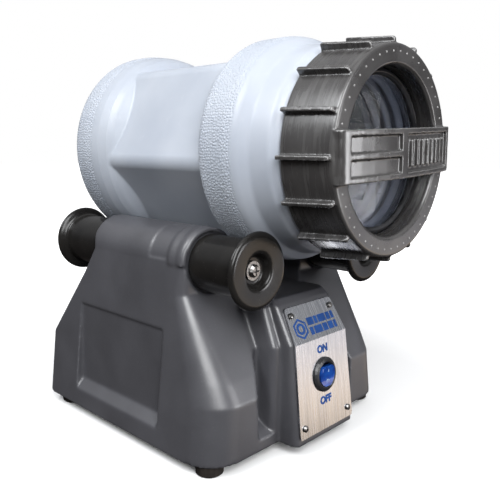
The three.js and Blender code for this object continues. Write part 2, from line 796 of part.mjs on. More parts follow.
// ---- Cord gland ------------------------------------------------------------------------------------------
const GLAND_REAR = BASE_HALF_DEPTH + 2.4;
function cordGland() {
  const rear = BASE_HALF_DEPTH;
  return turned(
    [
      [3.6, rear - 9],
      [GLAND.radius - 1, rear - 9],
      [GLAND.radius, rear - 8],
      [GLAND.radius, rear + GAP],
      [GLAND.radius + 3, rear + GAP],
      [GLAND.radius + 2.4, GLAND_REAR],
      [3.6, GLAND_REAR],
    ],
    20,
  );
}

// ---- Drum ------------------------------------------------------------------------------------------------
// Radius of the round-edged hexagon, grown by offset, at an angle about the axis. A corner points along +X.
function hexRadius(angle, offset) {
  const apothem = HEX_APOTHEM + offset;
  const edge = HEX_EDGE_RADIUS + offset;
  const sixth = Math.PI / 3;
  const fromCorner = Math.abs(((((angle - Math.PI / 2) % sixth) + 1.5 * sixth) % sixth) - sixth / 2);
  const centre = (apothem - edge) / Math.cos(Math.PI / 6);
  const tangent = Math.atan2(edge / 2, centre + edge * Math.cos(Math.PI / 6));
  if (fromCorner > tangent) {
    return apothem / Math.cos(Math.PI / 6 - fromCorner);
  }
  return centre * Math.cos(fromCorner) + Math.sqrt(edge ** 2 - (centre * Math.sin(fromCorner)) ** 2);
}

// A station of the drum: a plain circle where it is round, or else whichever of hexagon and circle lies further out.
const drumStation = (round, circle, y, offset) => [
  (angle) => (round ? circle + offset : Math.max(circle + offset, hexRadius(angle, offset))),
  y,
];

// The drum's outside from the rear to the neck: [whether it is round, radius of the circle, y].
const DRUM_STATIONS = [
  [true, 66, DRUM_REAR],
  [true, 72.5, DRUM_REAR - 2],
  [true, 75.6, DRUM_REAR - 5],
  [true, DRUM_RADIUS, DRUM_REAR - 9],
  [true, DRUM_RADIUS, 68],
  [true, DRUM_RADIUS - 0.8, 62],
  [true, 75, 54],
  [false, 72.6, 46],
  [false, 70, 41],
  [false, 63, 34],
  [false, 63, -57],
  [false, 70, -60],
  [true, 75.6, -63],
  [true, DRUM_RADIUS, -66],
  [true, DRUM_RADIUS, -86],
  [true, DRUM_RADIUS - 0.8, -91],
  [true, 75, -95],
  [true, 72.4, -99],
  [true, 70.2, -102],
  [true, 69.4, -107],
  [true, 68.2, -116],
  [true, 66.7, -118.5],
  [true, 65.8, -122],
  [true, 64, -123],
];
const NECK_INNER = 55.5;
const DRUM_FLOOR = DRUM_REAR - 7.5; // inside the dished rear end
// The few of them that the inner skins follow.
const INNER_Y = [DRUM_REAR - 9, 54, 46, 34, -57, -66, -86, -95, -102];
const INNER_STATIONS = DRUM_STATIONS.filter(([, , y]) => INNER_Y.includes(y)).reverse();
const innerSkin = (offset, rearmost) =>
  INNER_STATIONS.map(([round, circle, y]) => drumStation(round, circle, Math.min(y, rearmost), -offset));

function drumShell() {
  const outside = DRUM_STATIONS.map(([round, circle, y]) => drumStation(round, circle, y, 0));
  const profile = [
    [0, NECK_LIP],
    [NECK_RADIUS - 1, NECK_LIP],
    [NECK_RADIUS, NECK_LIP + 1],
    [NECK_RADIUS, -123],
    ...outside.reverse(),
    [50, DRUM_REAR],
    [47, DRUM_REAR - 4],
    [0, DRUM_REAR - 4],
  ];
  const cavity = [
    [0, NECK_LIP - 5],
    [NECK_INNER, NECK_LIP - 5],
    [NECK_INNER, -116],
    ...innerSkin(DRUM_WALL, DRUM_REAR),
    [45, DRUM_FLOOR],
    [0, DRUM_FLOOR],
  ];
  const thread = threadRidge(
    NECK_RADIUS - 0.6,
    NECK_RADIUS + THREAD_HEIGHT,
    3,
    1.6,
    NECK_LIP + 3,
    THREAD_TURNS,
  );
  return cut(shapedTurn(profile, 42).add(thread), shapedTurn(cavity, 42));
}

// The rubber liner stands inside the shell and reaches forward through the neck.
function drumLiner() {
  const rear = DRUM_FLOOR - GAP;
  const mouth = NECK_INNER - GAP;
  const outside = [
    [0, NECK_LIP + 1],
    [mouth, NECK_LIP + 1],
    [mouth, -113],
    ...innerSkin(DRUM_WALL + GAP, 78),
    [44, rear],
    [0, rear],
  ];
  const inside = [
    [0, NECK_LIP],
    [mouth - LINER_WALL, NECK_LIP],
    [mouth - LINER_WALL, -111],
    ...innerSkin(DRUM_WALL + GAP + LINER_WALL, 78 - LINER_WALL),
    [42, rear - LINER_WALL],
    [0, rear - LINER_WALL],
  ];
  return cut(shapedTurn(outside, 42), shapedTurn(inside, 42));
}

// ---- Lid -------------------------------------------------------------------------------------------------
const GASKET_FACE = NECK_LIP - GAP;
const LENS_BACK = GASKET_FACE - 2 - GAP;
const LENS_FRONT = LENS_BACK - 3.4;
const COLLAR_SEAT = LENS_FRONT - GAP;

const gasket = () =>
  turned(
    [
      [54, GASKET_FACE - 2],
      [60.5, GASKET_FACE - 2],
      [60.5, GASKET_FACE],
      [54, GASKET_FACE],
    ],
    36,
  );

// A clear disc with a raised rim that sits in the collar.
const lens = () =>
  turned(
    [
      [0, LENS_FRONT + 0.8],
      [47.5, LENS_FRONT + 0.8],
      [48.5, LENS_FRONT],
      [60.5, LENS_FRONT],
      [60.5, LENS_BACK],
      [51.5, LENS_BACK],
      [50.5, LENS_BACK + 3],
      [48, LENS_BACK + 3],
      [47, LENS_BACK],
      [0, LENS_BACK],
    ],
    36,
  );

function collar() {
  const ring = turned(
    [
      [COLLAR_WINDOW, COLLAR_SEAT],
      [COLLAR_WINDOW, COLLAR_FRONT + 1.6],
      [COLLAR_WINDOW + 1.6, COLLAR_FRONT],
      [COLLAR_RADIUS - 3.2, COLLAR_FRONT],
      [COLLAR_RADIUS - 2.2, COLLAR_FRONT + 0.4],
      [COLLAR_RADIUS - 1.8, COLLAR_FRONT + 1.4],
      [COLLAR_RADIUS, COLLAR_REAR - 0.8],
      [COLLAR_RADIUS - 0.8, COLLAR_REAR],
      [COLLAR_BORE, COLLAR_REAR],
      [COLLAR_BORE, COLLAR_SEAT + 4],
      [61.2, COLLAR_SEAT + 3.6],
      [61.2, COLLAR_SEAT],
    ],
    40,
  );
  const ridge = threadRidge(
    COLLAR_BORE + 0.6,
    NECK_RADIUS + 0.7,
    3,
    1.6,
    NECK_LIP + 3 + THREAD_PITCH / 2,
    THREAD_TURNS,
  );
  const foot = COLLAR_RADIUS - 3;
  const top = COLLAR_RADIUS + RIB_HEIGHT;
  const ribSide = polygon([
    [COLLAR_FRONT + 2, foot],
    [COLLAR_REAR, foot],
    [COLLAR_REAR, top - 0.6],
    [COLLAR_REAR - 0.8, top],
    [COLLAR_FRONT + 3.2, top - 2.4],
    [COLLAR_FRONT + 2, top - 3.6],
  ]);
  const rib = alongX(ribSide, -RIB_WIDTH / 2, RIB_WIDTH / 2);
  const ribs = Array.from({ length: RIB_COUNT }, (_, i) => rib.rotate([0, (i * 360) / RIB_COUNT, 0]));
  return union(ring, ridge, ...ribs, handle());
}

// A strap that crosses the window and turns back into the collar's front at both ends. Its front face can be
// brought back by inset.
function strap(inset) {
  const half = HANDLE_HALF_LENGTH;
  const root = -COLLAR_FRONT - 3;
  const inner = half - 12;
  const bow = 5; // how far the ends lie behind the middle
  const front = -HANDLE_FRONT - inset;
  const shoulder = front - bow;
  const back = -HANDLE_FRONT - HANDLE_THICKNESS;
  const outline = new THREE.Shape(); // X and -Y
  outline.moveTo(inner + 0.5, root);
  outline.lineTo(half - 3, root);
  outline.quadraticCurveTo(half + 1.5, shoulder - 1, half - 9, shoulder);
  outline.quadraticCurveTo(0, front + bow, -half + 9, shoulder);
  outline.quadraticCurveTo(-half - 1.5, shoulder - 1, -half + 3, root);
  outline.lineTo(-inner - 0.5, root);
  outline.quadraticCurveTo(-inner, back - bow, -inner + 8, back - bow);
  outline.quadraticCurveTo(0, back + bow, inner - 8, back - bow);
  outline.quadraticCurveTo(inner, back - bow, inner + 0.5, root);
  return solid(
    new THREE.ExtrudeGeometry(outline, { depth: HANDLE_HEIGHT, bevelEnabled: false, curveSegments: 10 })
      .translate(0, 0, -HANDLE_HEIGHT / 2)
      .rotateX(Math.PI),
  );
}

// The handle: two sunk windows on its left, and on its right a sunk panel with upright grip ribs.
function handle() {
  const panel = (x0, x1, z0, z1) => box(x0, x1, HANDLE_FRONT - 5, HANDLE_FRONT + 20, z0, z1);
  const window = (z0, z1) => panel(-56, -9.5, z0, z1);
  const firstRib = 1.5;
  const ribPitch = 7;
  const ribs = Array.from({ length: 8 }, (_, i) => {
    const x = firstRib + i * ribPitch;
    return panel(x, x + 2.2, -8, 8);
  });
  const gripPanel = cut(panel(-3.5, 57, -11.6, 11.6), ...ribs);
  return strap(0).subtract(union(window(1.7, 11.6), window(-11.6, -1.7), gripPanel).subtract(strap(2)));
}

// ---- Assembly --------------------------------------------------------------------------------------------
const model = new THREE.Group();

const base = new THREE.Group();
base.add(
  piece("base_housing", baseHousing(), housingPlastic),
  piece("bottom_plate", bottomPlate(), blackPlastic),
  piece("face_plate", facePlate(), brushedMetal),
  piece("switch_bezel", onConsole(switchBezel(), SWITCH_PLACE), blackPlastic),
  piece("cord_gland", cordGland().translate([GLAND.x, 0, GLAND.z]), blackPlastic),
);
const footNames = ["front_left", "rear_left", "front_right", "rear_right"];
footPlaces.forEach(([x, y], i) => {
  const place = [x, y, 0];
  base.add(piece(`foot_${footNames[i]}`, foot().rotate([90, 0, 0]).translate(place), blackRubber));
  const screw = panScrew(4, 2.4, 1.6, 18).rotate([90, 0, 0]).translate([x, y, 1.6]);
  base.add(piece(`foot_screw_${footNames[i]}`, screw, steel));
});
plateScrewPlaces.forEach((place, i) => {
  const seat = -GAP - PLATE_THICKNESS - GAP;
  const screw = panScrew(2.3, 1.4, 0.9, 7, 12).translate([0, seat - 1.4, 0]);
  base.add(piece(`plate_screw_${i + 1}`, onConsole(screw, place), steel));
});
model.add(base);

const rocker = switchRocker().rotate([ROCKER_TILT, 0, 0]).translate([0, -2.2, 0]);
model.add(piece("switch_rocker", onConsole(rocker, SWITCH_PLACE), bluePlastic));

for (const [side, x] of [
  ["idler", -ROLLER_X],
  ["drive", ROLLER_X],
]) {
  const shaftGroup = new THREE.Group();
  shaftGroup.position.set(x, 0, ROLLER_Z);
  const facingFront = (body) => body.mirror([0, 1, 0]);
  shaftGroup.add(
    piece(`${side}_shaft`, shaft(), steel),
    piece(`${side}_roller_rear`, roller(SHOULDER_REAR, FLANGE_REAR), rollerPlastic),
    piece(`${side}_roller_front`, facingFront(roller(SHOULDER_FRONT, FLANGE_FRONT)), rollerPlastic),
    piece(`${side}_bush_rear`, bush(SHOULDER_REAR), bronze),
    piece(`${side}_bush_front`, facingFront(bush(SHOULDER_FRONT)), bronze),
    piece(`${side}_roller_screw_rear`, rollerScrew(FLANGE_REAR), steel),
    piece(`${side}_roller_screw_front`, facingFront(rollerScrew(FLANGE_FRONT)), steel),
  );
  if (side === "drive") {
    const bore = SHAFT_RADIUS + RUNNING_CLEARANCE;
    shaftGroup.add(piece("driven_pulley", pulley(DRIVEN_PULLEY_RADIUS, 9, bore), pulleyPlastic));
  }
  model.add(shaftGroup);
}

const motor = new THREE.Group();
motor.position.set(MOTOR_X, 0, MOTOR_Z);
motor.add(
  piece("motor_can", motorCan(), motorPaint),
  piece("gearbox", gearbox(), steel),
  piece("rotor_shaft", rotorShaft(), steel),
  piece("output_spindle", outputSpindle(), steel),
  piece("motor_pulley", pulley(MOTOR_PULLEY_RADIUS, 5.5, SPINDLE_RADIUS + RUNNING_CLEARANCE), pulleyPlastic),
  piece("cooling_fan", coolingFan(), blackPlastic),
);
model.add(motor);
model.add(piece("drive_belt", belt(), blackRubber), piece("motor_bracket", motorBracket(), steel));
FACE_SCREWS.forEach(([x, z], i) => {
  const screw = panScrew(3.2, 2, 1.5, 7).mirror([0, 1, 0]).translate([x, BRACKET_Y + 4 + GAP, z]);
  model.add(piece(`gearbox_screw_${i + 1}`, screw, steel));
});
BRACKET_SCREWS.forEach(([x, y], i) => {
  const screw = panScrew(3.2, 2, 1.6, 4.5).rotate([90, 0, 0]).translate([x, y, FOOT_HEIGHT - GAP - 2]);
  model.add(piece(`bracket_screw_${i + 1}`, screw, steel));
});

const drum = new THREE.Group();
drum.position.z = DRUM_Z;
drum.rotation.y = THREE.MathUtils.degToRad(-DRUM_REST_TURN);
drum.add(
  piece("drum_shell", drumShell(), drumPlastic),
  piece("drum_liner", drumLiner(), blackRubber),
  piece("lid_gasket", gasket(), blackRubber),
  piece("lid_lens", lens(), clearPlastic),
  piece("lid_collar", collar().rotate([0, COLLAR_REST_TURN, 0]), collarPlastic),
);
model.add(drum);

// The origin is under the middle of the whole object, on the surface that it stands on.
const root = new THREE.Group();
model.position.y = -(HANDLE_FRONT + GLAND_REAR) / 2;
root.add(model);

export default root;
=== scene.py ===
"""Looks of a bench-top rotary tumbler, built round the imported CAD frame.

Lengths are in millimetres until a mesh is made from them.
"""

import json
import math

import bmesh
import bpy
import numpy as np
from mathutils import Matrix, Vector


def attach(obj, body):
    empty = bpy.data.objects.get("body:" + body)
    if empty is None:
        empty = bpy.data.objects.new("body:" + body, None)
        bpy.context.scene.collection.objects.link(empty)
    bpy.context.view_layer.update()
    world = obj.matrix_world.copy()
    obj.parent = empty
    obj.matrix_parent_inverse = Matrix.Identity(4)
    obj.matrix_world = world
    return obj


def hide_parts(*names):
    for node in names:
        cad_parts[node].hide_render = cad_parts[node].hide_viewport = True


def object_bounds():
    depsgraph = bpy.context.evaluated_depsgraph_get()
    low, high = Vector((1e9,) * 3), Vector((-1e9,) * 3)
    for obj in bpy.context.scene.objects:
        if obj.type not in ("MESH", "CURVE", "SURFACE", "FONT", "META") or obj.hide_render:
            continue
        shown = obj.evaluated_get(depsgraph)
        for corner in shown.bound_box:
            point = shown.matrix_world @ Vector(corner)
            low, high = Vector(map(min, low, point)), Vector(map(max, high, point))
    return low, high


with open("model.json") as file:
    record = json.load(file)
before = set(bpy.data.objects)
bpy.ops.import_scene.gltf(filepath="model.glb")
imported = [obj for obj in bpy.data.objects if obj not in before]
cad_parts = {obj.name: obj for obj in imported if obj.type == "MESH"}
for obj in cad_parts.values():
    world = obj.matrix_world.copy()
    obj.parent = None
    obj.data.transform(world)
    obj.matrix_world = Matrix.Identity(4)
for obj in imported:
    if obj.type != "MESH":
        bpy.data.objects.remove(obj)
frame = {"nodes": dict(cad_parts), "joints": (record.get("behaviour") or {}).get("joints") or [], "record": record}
cad_low, cad_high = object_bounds()
nodes = frame["nodes"]
joint_place = {j["name"]: j.get("pos_m") for j in frame["joints"]}

MM = 0.001
DRUM_PLACE = joint_place["drum_spin"]  # on the drum's axis, at the middle of the base
ROLLER_Z = joint_place["idler_rollers_spin"][2] / MM
ROLLER_X = joint_place["drive_rollers_spin"][0] / MM
DRUM_Z = DRUM_PLACE[2] / MM
MIDDLE_Y = DRUM_PLACE[1] / MM  # the parts below are measured from the middle of the base

# ---- Dimensions shared with the CAD, in millimetres ----
GAP = 0.3
DRUM_RADIUS = 77.1
DRUM_TURN = math.radians(-7)
COLLAR_TURN = math.radians(-2.5)


# ---- Points and outlines ----
def soften(points, reach, steps=4):
    """The polyline with each inner corner turned into a small curve. Points may be 2-D or 3-D."""
    rows = [np.array(p, float) for p in points]
    out = [rows[0]]
    for before, here, after in zip(rows, rows[1:], rows[2:]):
        length_in, length_out = np.linalg.norm(here - before), np.linalg.norm(after - here)
        start = here + (before - here) * min(reach / max(length_in, 1e-9), 0.48)
        end = here + (after - here) * min(reach / max(length_out, 1e-9), 0.48)
        for i in range(steps + 1):
            t = i / steps
            out.append((1 - t) ** 2 * start + 2 * t * (1 - t) * here + t**2 * end)
    out.append(rows[-1])
    return out


def resample(points, step):
    """The polyline with points added so that none of its pieces is longer than step."""
    out = [points[0]]
    for a, b in zip(points, points[1:]):
        count = max(1, math.ceil(np.linalg.norm(b - a) / step))
        out.extend(a + (b - a) * i / count for i in range(1, count + 1))
    return out


def bezier(p0, p1, p2, count=10):
    return [
        tuple((1 - t) ** 2 * a + 2 * t * (1 - t) * b + t**2 * c for a, b, c in zip(p0, p1, p2))
        for t in (i / count for i in range(count + 1))
    ]


def arc(cx, cy, radius, start, end, count=24):
    angles = [math.radians(start + (end - start) * i / count) for i in range(count + 1)]
    return [(cx + radius * math.cos(a), cy + radius * math.sin(a)) for a in angles]


# ---- Meshes ----
def new_object(name, mesh):
    made = bpy.data.objects.new(name, mesh)
    bpy.context.scene.collection.objects.link(made)
    return made


def mesh_of(name, points, faces):
    """A mesh from points in model millimetres."""
    mesh = bpy.data.meshes.new(name)
    placed = np.array(points, float) * MM + np.array([0, MIDDLE_Y * MM, 0])
    mesh.from_pydata(placed.tolist(), [], faces)
    mesh.validate()
    return mesh


def clean(mesh, weld=1e-6):
    """Welds coincident points, and turns the faces outward."""
    work = bmesh.new()
    work.from_mesh(mesh)
    bmesh.ops.remove_doubles(work, verts=work.verts, dist=weld)
    bmesh.ops.dissolve_degenerate(work, edges=work.edges, dist=weld / 10)
    bmesh.ops.recalc_face_normals(work, faces=work.faces)
    work.to_mesh(mesh)
    work.free()
    return mesh


def grid_faces(rows, columns, wrap=True):
    """The quads between neighbouring rows of points."""
    faces = []
    for low in range(0, (rows - 1) * columns, columns):
        high = low + columns
        for i in range(columns if wrap else columns - 1):
            after = (i + 1) % columns
            faces.append((low + i, low + after, high + after, high + i))
    return faces


def lathe(name, profile, x=0.0, z=0.0, segments=128, closed=True):
    """A profile of (radius, y) turned about a line along Y through x and z."""
    outline = [*profile, profile[0]] if closed else list(profile)
    angles = np.linspace(0, 2 * math.pi, segments, endpoint=False)
    points = [(x + r * math.sin(a), y, z + r * math.cos(a)) for r, y in outline for a in angles]
    return clean(mesh_of(name, points, grid_faces(len(outline), segments)))


def loft(name, rings):
    """A closed skin over rings of equally many points, with a flat face over each end."""
    count = len(rings[0])
    points = [p for ring in rings for p in ring]
    faces = grid_faces(len(rings), count)
    faces.append(tuple(range(count))[::-1])
    faces.append(tuple((len(rings) - 1) * count + i for i in range(count)))
    return clean(mesh_of(name, points, faces))


def prism_y(name, outline, y0, y1):
    """An outline of (x, z) drawn out along Y."""
    return loft(name, [[(x, y, z) for x, z in outline] for y in (y0, y1)])


def prism_x(name, outline, x0, x1):
    """An outline of (y, z) drawn out along X."""
    return loft(name, [[(x, y, z) for y, z in outline] for x in (x0, x1)])


def block(name, x0, x1, y0, y1, z0, z1):
    return prism_y(name, [(x0, z0), (x1, z0), (x1, z1), (x0, z1)], y0, y1)


def mirrored(mesh):
    made = mesh.copy()
    made.transform(Matrix.Scale(-1, 4, (1, 0, 0)))
    made.flip_normals()
    return made


def apply_modifiers(obj):
    """Bakes the object's modifiers into its mesh."""
    evaluated = obj.evaluated_get(bpy.context.evaluated_depsgraph_get())
    mesh = bpy.data.meshes.new_from_object(evaluated)
    obj.modifiers.clear()
    obj.data = mesh


def baked(work):
    """The mesh of a working object with its modifiers applied. The object is removed."""
    apply_modifiers(work)
    mesh = work.data
    bpy.data.objects.remove(work)
    return mesh


def combine(mesh, operation, *tools):
    """Joins, cuts or intersects a mesh with others, one after the other."""
    target = new_object("work", mesh)
    for tool_mesh in tools:
        tool = new_object("tool", tool_mesh)
        modifier = target.modifiers.new("combine", "BOOLEAN")
        modifier.operation = operation
        modifier.solver = "MANIFOLD"
        modifier.object = tool
        apply_modifiers(target)
        bpy.data.objects.remove(tool)
    made = target.data
    bpy.data.objects.remove(target)
    return made


def moulded(mesh, voxel, smoothing, keep=1.0):
    """The same shape with evenly rounded edges, as from a mould."""
    work = new_object("work", mesh)
    remesh = work.modifiers.new("remesh", "REMESH")
    remesh.mode = "VOXEL"
    remesh.voxel_size = voxel * MM
    smooth = work.modifiers.new("smooth", "SMOOTH")
    smooth.factor = 0.5
    smooth.iterations = smoothing
    if keep < 1:
        thin = work.modifiers.new("thin", "DECIMATE")
        thin.ratio = keep
    return baked(work)


def shade(mesh, angle=40):
    mesh.shade_smooth()
    mesh.set_sharp_from_angle(angle=math.radians(angle))


def piece(name, mesh, body, material, replaces=(), angle=40):
    """Puts a finished mesh on a body."""
    made = new_object(name, mesh)
    mesh.materials.clear()
    mesh.materials.append(material)
    shade(mesh, angle)
    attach(made, body)
    if replaces:
        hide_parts(*replaces)
    return made


# ---- Materials ----
def add_node(tree, kind, inputs=None, **settings):
    """A new node, with each input set to a value or fed from another node."""
    made = tree.nodes.new(kind)
    for setting, value in settings.items():
        setattr(made, setting, value)
    for socket, value in (inputs or {}).items():
        if isinstance(value, bpy.types.NodeSocket):
            tree.links.new(value, made.inputs[socket])
        else:
            made.inputs[socket].default_value = value
    return made


def add_ramp(tree, value, stops):
    """Colours read off stops of (position, colour)."""
    ramp = add_node(tree, "ShaderNodeValToRGB", {"Fac": value})
    elements = ramp.color_ramp.elements
    while len(elements) < len(stops):
        elements.new(0.5)
    for element, (position, colour) in zip(elements, stops):
        element.position = position
        element.color = (*colour, 1)
    return ramp.outputs["Color"]


class Shader:
    """A material's nodes: textures in the piece's own coordinates feed a principled surface."""

    def __init__(self, name, **sockets):
        self.material = bpy.data.materials.new(name)
        self.material.use_nodes = True
        self.tree = self.material.node_tree
        self.surface = self.tree.nodes["Principled BSDF"]
        for socket, value in sockets.items():
            self.surface.inputs[socket.replace("_", " ")].default_value = value
        self.place = self.tree.nodes.new("ShaderNodeTexCoord").outputs["Object"]
        self.normal = None

    def node(self, kind, inputs=None, **settings):
        return add_node(self.tree, kind, inputs, **settings)

    def stretched(self, stretch):
        inputs = {"Vector": self.place, "Scale": stretch}
        return self.node("ShaderNodeMapping", inputs).outputs["Vector"]

    def noise(self, size, detail=3.0, stretch=None, roughness=0.5):
        """Noise with blobs of about size millimetres."""
        vector = self.stretched(stretch) if stretch else self.place
        inputs = {"Vector": vector, "Scale": 1 / (size * MM), "Detail": detail, "Roughness": roughness}
        return self.node("ShaderNodeTexNoise", inputs).outputs[0]

    def pointed(self):
        """How sharply a finely meshed piece bends outward, 0.5 being flat."""
        return self.node("ShaderNodeNewGeometry").outputs["Pointiness"]

    def edges(self, start=0.52, end=0.58):
        """0 on flat ground, rising to 1 along the outward edges. Used as the mask for painted edge highlights."""
        return self.spread(self.pointed(), 0.0, 1.0, start, end)

    def hollow_shade(self, start=0.42, end=0.49):
        """1 along the inward creases, falling to 0 on flat ground. Used as the mask for painted shade in the
        creases.
        """
        return self.spread(self.pointed(), 1.0, 0.0, start, end)

    def cells(self, size):
        inputs = {"Vector": self.place, "Scale": 1 / (size * MM)}
        return self.node("ShaderNodeTexVoronoi", inputs).outputs["Distance"]

    def spread(self, value, low, high, start=0.3, end=0.7):
        inputs = {"Value": value, "From Min": start, "From Max": end, "To Min": low, "To Max": high}
        return self.node("ShaderNodeMapRange", inputs).outputs["Result"]

    def colours(self, value, *stops):
        return add_ramp(self.tree, value, stops)

    def mix(self, factor, a, b, mode="MIX"):
        made = self.node("ShaderNodeMix", data_type="RGBA", blend_type=mode)
        for index, value in ((0, factor), (6, a), (7, b)):
            if isinstance(value, bpy.types.NodeSocket):
                self.tree.links.new(value, made.inputs[index])
            else:
                made.inputs[index].default_value = value if index == 0 else (*value, 1)
        return made.outputs[2]

    def math(self, operation, a, b=0.0, c=0.0):
        return self.node("ShaderNodeMath", {0: a, 1: b, 2: c}, operation=operation).outputs[0]

    def bump(self, height, strength, depth):
        """Adds relief, depth millimetres deep."""
        inputs = {"Height": height, "Strength": strength, "Distance": depth * MM}
        if self.normal:
            inputs["Normal"] = self.normal
        self.normal = self.node("ShaderNodeBump", inputs).outputs["Normal"]

    def done(self, colour=None, roughness=None):
        links = {"Base Color": colour, "Roughness": roughness, "Normal": self.normal}
        for socket, value in links.items():
            if value:
                self.tree.links.new(value, self.surface.inputs[socket])
        return self.material


def housing_plastic():
    s = Shader("housing_plastic", Specular_IOR_Level=0.85)
    mottle = s.noise(38, 4)
    colour = s.colours(mottle, (0.3, (0.05, 0.05, 0.056)), (0.72, (0.068, 0.068, 0.076)))
    speck = s.noise(1.1, 2)
    colour = s.mix(s.spread(speck, 0.0, 0.16, 0.62, 0.8), colour, (0.2, 0.2, 0.21))
    # Lighter along the outward edges: a painted highlight.
    colour = s.mix(s.math("MULTIPLY", s.edges(), 0.3), colour, (0.22, 0.22, 0.235))
    s.bump(s.noise(0.9, 2), 0.12, 0.05)
    s.bump(s.noise(14, 2), 0.14, 0.25)
    return s.done(colour, s.spread(s.noise(22, 5), 0.31, 0.41))


def drum_plastic():
    s = Shader("drum_plastic", Subsurface_Weight=0.12, Subsurface_Scale=0.004, Specular_IOR_Level=0.4)
    s.surface.inputs["Subsurface Radius"].default_value = (1.0, 0.9, 0.8)
    haze = s.noise(46, 3)
    colour = s.colours(haze, (0.3, (0.36, 0.39, 0.445)), (0.7, (0.42, 0.45, 0.5)))
    scuff = s.noise(9, 6, roughness=0.7)
    colour = s.mix(s.spread(scuff, 0.0, 0.25, 0.6, 0.78), colour, (0.5, 0.52, 0.56))
    s.bump(s.noise(0.8, 3), 0.08, 0.04)
    s.bump(s.noise(30, 2), 0.1, 0.5)
    return s.done(colour, s.spread(s.noise(16, 4), 0.3, 0.42))


def collar_plastic():
    s = Shader("collar_plastic", Specular_IOR_Level=0.95)
    cloud = s.noise(24, 4)
    colour = s.colours(cloud, (0.3, (0.03, 0.028, 0.028)), (0.7, (0.047, 0.045, 0.044)))
    streak = s.noise(3.2, 3, stretch=(0.12, 1.0, 0.12))
    colour = s.mix(s.spread(streak, 0.0, 0.35, 0.5, 0.75), colour, (0.11, 0.107, 0.104))
    # Much lighter along the outward edges: a painted highlight.
    colour = s.mix(s.math("MULTIPLY", s.edges(), 0.7), colour, (0.36, 0.355, 0.35))
    # Near black in the inward creases and recesses: painted shade.
    colour = s.mix(s.math("MULTIPLY", s.hollow_shade(), 0.85), colour, (0.008, 0.008, 0.008))
    s.bump(s.noise(2.2, 3, stretch=(0.1, 1.0, 0.1)), 0.18, 0.09)
    s.bump(s.cells(1.3), 0.12, 0.06)
    return s.done(colour, s.spread(streak, 0.21, 0.33))


def roller_plastic():
    s = Shader("roller_plastic", Specular_IOR_Level=0.34)
    dust = s.noise(5, 6, roughness=0.75)
    colour = s.colours(s.noise(20, 2), (0.3, (0.008, 0.0075, 0.0072)), (0.7, (0.014, 0.013, 0.012)))
    colour = s.mix(s.spread(dust, 0.0, 0.12, 0.66, 0.85), colour, (0.08, 0.07, 0.065))
    s.bump(s.noise(1.6, 3, stretch=(1.0, 0.25, 1.0)), 0.07, 0.05)
    return s.done(colour, s.spread(dust, 0.2, 0.36, 0.5, 0.8))


def rubber(name, shade_low, shade_high):
    s = Shader(name, Specular_IOR_Level=0.3)
    colour = s.colours(s.noise(8, 4), (0.3, shade_low), (0.7, shade_high))
    s.bump(s.noise(0.5, 3), 0.3, 0.06)
    return s.done(colour, s.spread(s.noise(4, 3), 0.62, 0.82))


def black_plastic(name="black_plastic", smoothest=0.25):
    s = Shader(name, Specular_IOR_Level=0.5)
    colour = s.colours(s.noise(10, 3), (0.3, (0.012, 0.012, 0.013)), (0.7, (0.022, 0.022, 0.024)))
    s.bump(s.noise(0.7, 2), 0.12, 0.04)
    return s.done(colour, s.spread(s.noise(6, 3), smoothest, smoothest + 0.17))


def brushed_aluminium():
    s = Shader("brushed_aluminium", Metallic=1.0)
    fine = s.noise(0.7, 4, stretch=(1.0, 0.03, 0.03))
    broad = s.noise(3.0, 3, stretch=(1.0, 0.04, 0.04))
    colour = s.colours(fine, (0.25, (0.4, 0.41, 0.44)), (0.75, (0.74, 0.75, 0.78)))
    colour = s.mix(s.spread(broad, 0.0, 0.45), colour, (0.84, 0.84, 0.85))
    s.bump(fine, 0.5, 0.03)
    return s.done(colour, s.spread(fine, 0.2, 0.3))


def bare_metal(name, colour_low, colour_high, roughness_low=0.22, roughness_high=0.38):
    s = Shader(name, Metallic=1.0)
    cloud = s.noise(2.5, 4)
    colour = s.colours(cloud, (0.3, colour_low), (0.7, colour_high))
    s.bump(s.noise(0.35, 2), 0.12, 0.02)
    return s.done(colour, s.spread(cloud, roughness_low, roughness_high))


def clear_plastic():
    s = Shader("clear_plastic", Transmission_Weight=1.0, IOR=1.49, Alpha=0.35)
    colour = s.colours(s.noise(30, 2), (0.3, (0.9, 0.95, 1.0)), (0.7, (0.96, 0.98, 1.0)))
    smear = s.noise(12, 6, roughness=0.75)
    s.bump(s.noise(40, 1), 0.03, 0.3)
    return s.done(colour, s.spread(smear, 0.0, 0.05, 0.55, 0.8))


def blue_plastic():
    s = Shader("blue_plastic", Coat_Weight=0.6, Coat_Roughness=0.04, IOR=1.49)
    colour = s.colours(s.noise(5, 2), (0.25, (0.004, 0.03, 0.2)), (0.75, (0.01, 0.09, 0.42)))
    s.bump(s.noise(2.5, 2), 0.05, 0.1)
    return s.done(colour, s.spread(s.noise(3, 3), 0.08, 0.2))


def plain_plastic(name, colour_low, colour_high, roughness=0.4):
    s = Shader(name)
    colour = s.colours(s.noise(7, 3), (0.3, colour_low), (0.7, colour_high))
    s.bump(s.noise(0.8, 2), 0.1, 0.04)
    return s.done(colour, s.spread(s.noise(5, 3), roughness - 0.07, roughness + 0.07))


